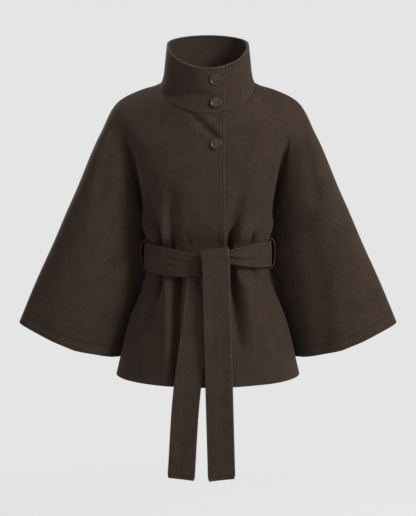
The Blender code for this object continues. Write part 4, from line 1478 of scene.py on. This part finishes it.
@dataclass
class Belt:
    """The tie belt: its band round the waist, its knot, its two hanging ends and its loops."""

    waist_top: BodyRing
    waist_bottom: BodyRing
    cloth: float = 0.0050
    width: float = 0.060
    gap: float = 0.0014
    fineness: int = 6
    band_rows: int = 40
    band_columns: tuple[int, ...] = (3, 7, 12, 12, 6, 2, 2)
    turn_step: float = 0.01
    stations: tuple[BeltStation, ...] = (
        BeltStation(16, -0.3595, -0.3880, 0.0050),
        BeltStation(40, -0.3495, -0.3985, 0.0022),
        BeltStation(90, -0.3510, -0.4070, 0.0006),
        BeltStation(180, -0.3530, -0.4130, 0.0000),
        BeltStation(270, -0.3500, -0.4120, 0.0000),
        BeltStation(320, -0.3560, -0.4175, 0.0015),
        BeltStation(343, -0.3645, -0.4183, 0.0046),
        BeltStation(354.5, -0.3705, -0.4160, 0.0052),
    )
    ends: tuple[BeltEnd, ...] = (
        BeltEnd(
            "belt_over_end",
            "belt_tail_over",
            (
                (0.0155, -0.1190, -0.3560),
                (0.0150, -0.1240, -0.3515),
                (0.0150, -0.1315, -0.3570),
                (0.0170, -0.1355, -0.3800),
                (0.0190, -0.1425, -0.4500),
                (0.0220, -0.1580, -0.5600),
                (0.0245, -0.1700, -0.6570),
                (0.0300, -0.1725, -0.8570),
            ),
            slant=0.003,
            turn=0.0,
            drop=0.0085,
            creases=crease_table(
                (6, -400, 13, -640, 9, 12, 1.4, 0.8, 3),
                (36, -500, 33, -800, 8, 10, 1, 1.2, -2),
                (-10, -366, 40, -380, 5, 6, 1, 0.3),
            ),
        ),
        BeltEnd(
            "belt_under_end",
            "belt_tail_under",
            (
                (-0.0150, -0.1140, -0.4186),
                (-0.0165, -0.1168, -0.4320),
                (-0.0200, -0.1245, -0.4600),
                (-0.0320, -0.1425, -0.5600),
                (-0.0445, -0.1580, -0.6520),
                (-0.0590, -0.1595, -0.8590),
            ),
            slant=-0.003,
            turn=0.003,
            drop=0.0,
            creases=crease_table(
                (-24, -412, -4, -475, 6, 7, 8, 1),
                (-40, -412, -47, -560, 6, 10, 2.2, 0.4),
                (-46, -560, -60, -800, 10, 12, 1, 0.8),
            ),
        ),
    )
    end_rows: int = 150
    end_crown: float = -0.0012
    end_area_share: float = 0.99  # of its length by its width
    slant_reach: float = 0.05
    drop_fade: float = 0.080
    turn_fade: tuple[float, float] = (-0.435, -0.520)
    end_rounding: float = 0.0025
    end_sewing: float = 0.0075
    knot_centre: Point = (0.0165, -0.1240, -0.3815)
    knot_size: Point = (0.046, 0.0065, 0.034)
    loop_route: tuple[tuple[float, float], ...] = (
        (0.1395, -0.3440),
        (0.1462, -0.3495),
        (0.1502, -0.3650),
        (0.1502, -0.3850),
        (0.1472, -0.4055),
        (0.1405, -0.4145),
    )
    loop_width: float = 0.007
    loop_cloth: float = 0.0022
    loop_y: float = -0.007
    loop_drop_right: float = 0.0030
    loop_rows: int = 60
    loop_crown: float = -0.0003
    loop_strip: float = 0.0145
    loop_area_share: float = 1.05  # of its length by its width
    strip_points: int = 15
    band_crown: float = 0.0009
    band_cut: Cut = Cut((0.72, 0.060), 0.0425, Hold.FOLDED)
    knot_cut: Cut = Cut((0.056, 0.046), 0.0023, Hold.FOLDED)
    knot_rounding: float = 0.42  # of its depth
    knot_softening: tuple[float, int] = (0.4, 4)  # how much, and how often
    band_creases: tuple[Crease, ...] = crease_table(
        (-118, -381, -30, -389, 4, 3, 1.4, 3, 3, 0.4),
        (-90, -398, -22, -401, 4, 3, 0.8, 2.8, 0, 0.4),
        (-70, -368, -24, -377, 4, 3, 0.4, 2.6, 0, 0.4),
        (100, -360, 44, -365.5, 5, 2.5, 0.3, 4.2, 0, 0.5),
        (98, -384, 44, -374.5, 5, 2.5, 0.3, 4.8, 2, 0.5),
        (84, -372, 44, -370, 5, 2.5, -0.2, -1.6),
        (-34, -352, -14, -380, 6, 7, 2, 6.2),
        (-16, -385, -14, -425, 6, 6, 5, 4),
        (-120, -366, -60, -376, 6, 6, 0.6, 1.2),
    )

    def waist(self, turn: Array, z: Array) -> Array:
        """Points of the waist's plain section.

        Args:
            turn: The turns from the front towards +X.
            z: The heights.

        Returns:
            The points.
        """
        top, bottom = self.waist_top, self.waist_bottom
        share = (z - top.z) / (bottom.z - top.z)
        half_width, side_y, front_y, back_y, fullness = (
            getattr(top, n) + (getattr(bottom, n) - getattr(top, n)) * share
            for n in ("half_width", "side_y", "front_y", "back_y", "fullness")
        )
        middle = np.where(np.cos(turn) > 0, front_y, back_y)
        y = side_y + (middle - side_y) * np.abs(np.cos(turn)) ** fullness
        return np.stack([half_width * np.sin(turn), y, z], axis=-1)

    def band(self) -> None:
        """Builds the band from the knot round the back to the knot."""
        rows = np.array([[math.radians(s.turn), s.z_top, s.z_bottom, s.off] for s in self.stations])
        fine = through(rows, row_parameters(self.band_columns, self.fineness))
        turn, z_top, z_bottom, off = fine.T[:, :, None]
        v = np.linspace(0, 1, self.band_rows + 1)[None, :]
        z = z_top + (z_bottom - z_top) * v
        turn = np.broadcast_to(turn, z.shape)
        along = self.waist(turn + self.turn_step, z) - self.waist(turn - self.turn_step, z)
        outward = unit(np.stack([along[..., 1], -along[..., 0], 0 * z], axis=-1))
        crown = self.band_crown * (1 - (2 * v - 1) ** 2)
        grid = self.waist(turn, z) + outward * (self.gap + self.cloth + off + crown)[..., None]
        points, quads = grid_sheet(grid)
        points = creased(points, quads, self.band_creases, front_only=True)
        edge = (np.minimum(v, 1 - v) * np.abs(z_top - z_bottom)).ravel()
        sheet = Sheet(points, quads, normals_of(points, quads), {"from_edge": edge})
        wool = WoolFinish("wool_belt_band", edges=("from_edge",)).material()
        declare(sheet.shell("belt_round_waist", self.cloth, wool), "belt_band")

    def strip(
        self, route: Sequence[Point], rows: int, width: float, across: Point, crown: float
    ) -> tuple[Array, Array]:
        """A strip along a smooth route.

        Args:
            route: The points that its middle line passes through.
            rows: Rows of mesh along it.
            width: Its width.
            across: The direction of its width.
            crown: How far its edges bend back from its middle.

        Returns:
            The grid of its points, and each row's distance from its last.
        """
        line = through(np.array(route), np.linspace(0, len(route) - 1, rows + 1))
        along = unit(np.gradient(line, axis=0))
        facing = unit(np.cross(along, np.array(across, float)))
        steps = np.linspace(-1, 1, self.strip_points)
        grid = line[:, None] + (steps[:, None] * np.array(across) * width / 2)[None]
        grid = grid - facing[:, None] * (crown * steps**2)[None, :, None]
        run = arc_lengths(line, 0)
        return grid, run[-1] - run

    def tail(self, end: BeltEnd, thread: bpy.types.Material) -> None:
        """Builds a hanging end of the belt.

        Args:
            end: Its form.
            thread: The finish of the stitches.
        """
        grid, to_end = self.strip(end.route, self.end_rows, self.width, (1, 0, 0), self.end_crown)
        steps = np.linspace(-1, 1, self.strip_points)
        grid[:, :, 1] += end.turn * (1 - steps) / 2 * smooth(grid[:, :, 2], *self.turn_fade)
        grid[:, :, 2] += end.slant * steps * (1 - smooth(to_end, 0.0, self.slant_reach))[:, None]
        at_top = smooth(to_end, to_end[0] - self.drop_fade, to_end[0])[:, None]
        grid[:, :, 2] -= end.drop * (1 - steps) / 2 * at_top
        short = np.maximum(self.end_rounding - to_end, 0)
        pull = self.end_rounding - np.sqrt(np.maximum(self.end_rounding**2 - short**2, 0))
        middle = grid[:, :, 0].mean(axis=1, keepdims=True)
        grid[:, :, 0] = middle + (grid[:, :, 0] - middle) * (1 - pull / (self.width / 2))[:, None]
        points, quads = grid_sheet(grid, flipped=True)
        points = creased(points, quads, end.creases)
        normals = normals_of(points, quads)
        edge = np.broadcast_to((1 - np.abs(steps)) * self.width / 2, grid.shape[:2]).ravel()
        ends = np.broadcast_to(to_end[:, None], grid.shape[:2]).ravel()
        fields = {"from_edge": edge, "from_end": ends}
        sheet = Sheet(points + normals * self.cloth / 2, quads, normals, fields)
        lines = (SewnLine("from_end", self.end_sewing),)
        wool = WoolFinish(f"wool_{end.name}", lines, edges=("from_edge", "from_end")).material()
        item = sheet.shell(end.name, self.cloth, wool)
        outside, facing = sheet.points.reshape(grid.shape), normals.reshape(grid.shape)
        runs = [
            line_beside(outside, facing, 0, self.end_sewing, True),
            line_beside(outside - facing * self.cloth, -facing, 0, self.end_sewing, True),
        ]
        sewing = Stitching().build(f"{end.name}_stitches", runs, thread)
        length = float(to_end[0])
        area = length * self.width * self.end_area_share
        declare(item, end.node, [sewing])

    def knot(self) -> None:
        """Models the turn of belt inside the knot, as a soft pad."""
        deselect_all()
        bpy.ops.mesh.primitive_cube_add(size=1, location=(0, 0, 0))
        item = bpy.context.object
        item.name = item.data.name = "belt_knot_turn"
        item.scale = self.knot_size
        bpy.ops.object.transform_apply(location=False, rotation=False, scale=True)
        bpy.ops.object.mode_set(mode="EDIT")
        bpy.ops.mesh.select_all(action="SELECT")
        bpy.ops.mesh.bevel(offset=self.knot_size[1] * self.knot_rounding, segments=3, affect="EDGES")
        bpy.ops.mesh.subdivide(number_cuts=2)
        bpy.ops.object.mode_set(mode="OBJECT")
        softening = item.modifiers.new("softening", "SMOOTH")
        softening.factor, softening.iterations = self.knot_softening
        bpy.ops.object.modifier_apply(modifier=softening.name)
        bpy.ops.object.shade_smooth()
        item.data.transform(Matrix.Translation(self.knot_centre))
        item.data.materials.append(WoolFinish("wool_belt_knot").material())
        declare(item, "belt_knot")

    def loop(self, side: Side) -> None:
        """Builds the belt loop of one side.

        Args:
            side: The wearer's side.
        """
        drop = self.loop_drop_right if side is Side.RIGHT else 0.0
        route = [(side.value * x, self.loop_y, z - drop) for x, z in self.loop_route]
        across = (0, side.value, 0)
        grid, to_end = self.strip(route, self.loop_rows, self.loop_width, across, self.loop_crown)
        points, quads = grid_sheet(grid, flipped=True)
        normals = normals_of(points, quads)
        inward = 1 - np.abs(np.linspace(-1, 1, self.strip_points))
        edge = np.broadcast_to(inward * self.loop_width / 2, grid.shape[:2]).ravel()
        sheet = Sheet(points + normals * self.loop_cloth / 2, quads, normals, {"from_edge": edge})
        word = side.name.lower()
        wool = WoolFinish(f"wool_{word}_belt_loop", edges=("from_edge",)).material()
        item = sheet.shell(f"{word}_belt_loop", self.loop_cloth, wool)
        length = float(to_end[0])
        area = length * self.loop_width * self.loop_area_share
        declare(item, f"belt_loop_{word}")

    def build(self, thread: bpy.types.Material) -> None:
        """Builds the whole belt.

        Args:
            thread: The finish of the stitches.
        """
        self.band()
        self.knot()
        for end in self.ends:
            self.tail(end, thread)
        for side in Side:
            self.loop(side)


@dataclass
class Buttons:
    """Three four-hole horn buttons with a raised rim, sewn on with thread."""

    radius: float = 0.0125
    thickness: float = 0.0042
    rim: float = 0.0030
    dish: float = 0.0011
    rounding: float = 0.0012
    hole_radius: float = 0.0011
    hole_pitch: float = 0.0044
    thread_radius: float = 0.00050
    thread_spacing: float = 0.7  # of its radius, from the line between two holes
    thread_depth: float = 0.3  # of the button's thickness, inside a hole
    thread_lift: float = 0.72  # of the thickness, from there to the bend's handles
    edge_facets: int = 64
    hole_facets: int = 20
    smooth_under: float = math.radians(35)
    face_steps: tuple[tuple[float, float], ...] = ((0.55, 0.0), (0.45, 1.0), (0.35, 0.25), (0.5, 0.0))
    nodes: tuple[str, ...] = ("button_top", "button_middle", "button_chest")

    def disc(self) -> bpy.types.Object:
        """Models one button lying on its back at the origin.

        Returns:
            The button.
        """
        deselect_all()
        bpy.ops.mesh.primitive_cylinder_add(
            vertices=self.edge_facets,
            radius=self.radius,
            depth=self.thickness,
            location=(0, 0, self.thickness / 2),
        )
        item = bpy.context.object
        bpy.ops.object.transform_apply(location=True, rotation=False, scale=False)
        self.select_face(item)
        for inset, drop in self.face_steps:
            bpy.ops.mesh.inset(thickness=self.rim * inset)
            if drop:
                bpy.ops.transform.translate(value=(0, 0, -self.dish * drop))
        bpy.ops.object.mode_set(mode="OBJECT")
        for edge in item.data.edges:
            ends = [item.data.vertices[k].co for k in edge.vertices]
            level = abs(ends[0].z - ends[1].z) < 1e-6
            edge.select = level and all(end.xy.length > self.radius * 0.99 for end in ends)
        bpy.ops.object.mode_set(mode="EDIT")
        bpy.ops.mesh.select_mode(type="EDGE")
        bpy.ops.mesh.bevel(offset=self.rounding, segments=5, affect="EDGES")
        bpy.ops.object.mode_set(mode="OBJECT")
        self.drill(item)
        bpy.ops.object.shade_smooth_by_angle(angle=self.smooth_under)
        return item

    @staticmethod
    def select_face(item: bpy.types.Object) -> None:
        """Enters edit mode with the button's upper face selected.

        Args:
            item: The button.
        """
        bpy.ops.object.mode_set(mode="EDIT")
        bpy.ops.mesh.select_mode(type="FACE")
        bpy.ops.mesh.select_all(action="DESELECT")
        bpy.ops.object.mode_set(mode="OBJECT")
        for face in item.data.polygons:
            face.select = face.normal.z > 0.5
        bpy.ops.object.mode_set(mode="EDIT")

    def drill(self, item: bpy.types.Object) -> None:
        """Drills the four thread holes.

        Args:
            item: The button.
        """
        for x in (-0.5, 0.5):
            for y in (-0.5, 0.5):
                deselect_all()
                place = (x * self.hole_pitch, y * self.hole_pitch, self.thickness / 2)
                bpy.ops.mesh.primitive_cylinder_add(
                    vertices=self.hole_facets,
                    radius=self.hole_radius,
                    depth=self.thickness * 3,
                    location=place,
                )
                bit = bpy.context.object
                bpy.ops.object.transform_apply(location=True, rotation=False, scale=False)
                deselect_all()
                item.select_set(True)
                bpy.context.view_layer.objects.active = item
                cut = item.modifiers.new("thread_hole", "BOOLEAN")
                cut.object, cut.operation, cut.solver = bit, "DIFFERENCE", "EXACT"
                bpy.ops.object.modifier_apply(modifier=cut.name)
                bpy.data.objects.remove(bit)

    def strands(self) -> bpy.types.Object:
        """Models the thread that crosses between the holes.

        Returns:
            The strands, as one mesh.
        """
        made = []
        floor = self.thickness - self.dish * sum(drop for _, drop in self.face_steps)
        for y in (-0.5, 0.5):
            for shift in (-self.thread_spacing, self.thread_spacing):
                deselect_all()
                bpy.ops.curve.primitive_bezier_curve_add(location=(0, 0, 0))
                item = bpy.context.object
                curve = item.data
                start, end = curve.splines[0].bezier_points
                level = y * self.hole_pitch + shift * self.thread_radius
                for point, x in ((start, -0.5), (end, 0.5)):
                    place = Vector((x * self.hole_pitch, level, floor - self.thickness * self.thread_depth))
                    point.handle_left_type = point.handle_right_type = "FREE"
                    point.co = place
                    lift = Vector((0, 0, self.thickness * self.thread_lift))
                    point.handle_left = point.handle_right = place + lift
                curve.bevel_depth = self.thread_radius
                curve.bevel_resolution = 2
                curve.resolution_u = 10
                curve.use_fill_caps = True
                bpy.ops.object.convert(target="MESH")
                made.append(bpy.context.object)
        deselect_all()
        for item in made:
            item.select_set(True)
        bpy.context.view_layer.objects.active = made[0]
        bpy.ops.object.join()
        bpy.ops.object.shade_smooth()
        return bpy.context.object

    def seat(self, solid: bpy.types.Object) -> Matrix:
        """Where a button's solid lies: its back's middle, with Z out of its face.

        Args:
            solid: The button's solid.

        Returns:
            The matrix that puts a button there.
        """
        places = np.unique(np.round([tuple(v.co) for v in solid.data.vertices], SAME_PLACE), axis=0)
        centre = places.mean(axis=0)
        _, axes = np.linalg.eigh(np.cov((places - centre).T))
        facing = axes[:, 0] * (-1 if axes[1, 0] > 0 else 1)
        base = centre + facing * ((places - centre) @ facing).min()
        z = Vector(facing)
        x = Vector((0, 0, 1)).cross(z).normalized() * -1
        turn = Matrix((x, z.cross(x), z)).transposed().to_4x4()
        return Matrix.Translation(base) @ turn

    def build(self, solids: Mapping[str, bpy.types.Object], thread: bpy.types.Material) -> None:
        """Builds the buttons where their solids lie.

        Args:
            solids: The frame's nodes by name.
            thread: The finish of the thread.
        """
        horn = HornFinish().material()
        disc, strands = self.disc(), self.strands()
        disc.data.materials.append(horn)
        strands.data.materials.append(thread)
        for node in self.nodes:
            place = self.seat(solids[node])
            for model, name in ((disc, f"horn_{node}"), (strands, f"{node}_thread")):
                item = bpy.data.objects.new(name, model.data.copy())
                item.data.name = name
                item.data.transform(place)
                bpy.context.scene.collection.objects.link(item)
                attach(item, CARRIER)
                if model is disc:
                    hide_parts(node)
            LOG.info("horn_%s: sewn on", node)
        for model in (disc, strands):
            bpy.data.objects.remove(model)


@dataclass(frozen=True)
class Lamp:
    """A soft square lamp that faces the jacket, with its power in watts and its beam's angle."""

    name: str
    place: Point
    size: float
    power: float
    colour: Colour
    spread: float = math.pi


@dataclass
class Studio:
    """A pale floor, soft studio light and the camera."""

    target: Point = (0.0, 0.0, -0.391)
    distance: float = 3.6
    elevation: float = math.radians(8)
    aside: float = 0.0002
    sensor: float = 36.0
    lens: float = 111.63
    floor_z: float = -1.42
    floor_half: float = 14.0
    backdrop: float = 0.785
    lamps: tuple[Lamp, ...] = (
        Lamp("key", (2.15, -1.75, 1.25), 0.8, 125.0, (1.0, 0.985, 0.965)),
        Lamp("fill", (0.2, -3.2, 0.2), 2.2, 11.0, (0.97, 0.985, 1.0)),
        Lamp("back", (-1.0, 2.4, 1.6), 1.0, 7.0, (1.0, 0.99, 0.98), math.radians(40)),
    )

    def camera(self) -> None:
        """Sets up the camera at the photograph's angle."""
        reach = Vector((0, -math.cos(self.elevation), math.sin(self.elevation))) * self.distance
        shift = Vector((self.aside, 0, 0))
        deselect_all()
        bpy.ops.object.camera_add(location=Vector(self.target) + reach + shift)
        item = bpy.context.object
        item.rotation_euler = (-reach).to_track_quat("-Z", "Y").to_euler()
        item.data.sensor_width, item.data.lens = self.sensor, self.lens
        bpy.context.scene.camera = item

    def light(self, lamp: Lamp) -> None:
        """Adds a lamp.

        Args:
            lamp: Its place and light.
        """
        deselect_all()
        bpy.ops.object.light_add(type="AREA", location=lamp.place)
        item = bpy.context.object
        item.name = lamp.name
        towards = Vector(self.target) - Vector(lamp.place)
        item.rotation_euler = towards.to_track_quat("-Z", "Y").to_euler()
        item.data.size, item.data.energy, item.data.color = lamp.size, lamp.power, lamp.colour
        item.data.spread = lamp.spread

    def floor(self) -> None:
        """Lays the floor."""
        deselect_all()
        size = 2 * self.floor_half
        bpy.ops.mesh.primitive_grid_add(x_subdivisions=8, y_subdivisions=8, size=size, location=(0, 0, 0))
        item = bpy.context.object
        item.name = item.data.name = "pale_floor"
        item.data.transform(Matrix.Translation((0, 0, self.floor_z)))
        item.data.materials.append(FloorFinish((self.backdrop,) * 3).material())

    def build(self) -> None:
        """Sets up the whole studio."""
        scene = bpy.context.scene
        world = bpy.data.worlds.new("studio")
        world.use_nodes = True
        background = world.node_tree.nodes["Background"]
        background.inputs["Color"].default_value = (self.backdrop, self.backdrop, self.backdrop, 1.0)
        scene.world = world
        scene.view_settings.view_transform = "Standard"
        self.camera()
        for lamp in self.lamps:
            self.light(lamp)
        self.floor()
        LOG.info("studio: floor, lamps and camera")


def main() -> None:
    """Dresses the jacket and sets up the studio."""
    logging.basicConfig(level=logging.INFO, format="%(name)s: %(message)s")
    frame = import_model()
    thread = ThreadFinish().material()
    panels = Panels()
    panels.build(thread)
    Collar(panels.yoke[0], panels.lap_fade, panels.lap_rise).build(thread)
    Belt(panels.body[1], panels.body[2]).build(thread)
    Buttons().build(frame["nodes"], thread)
    Studio().build()


if __name__ == "__main__":
    main()
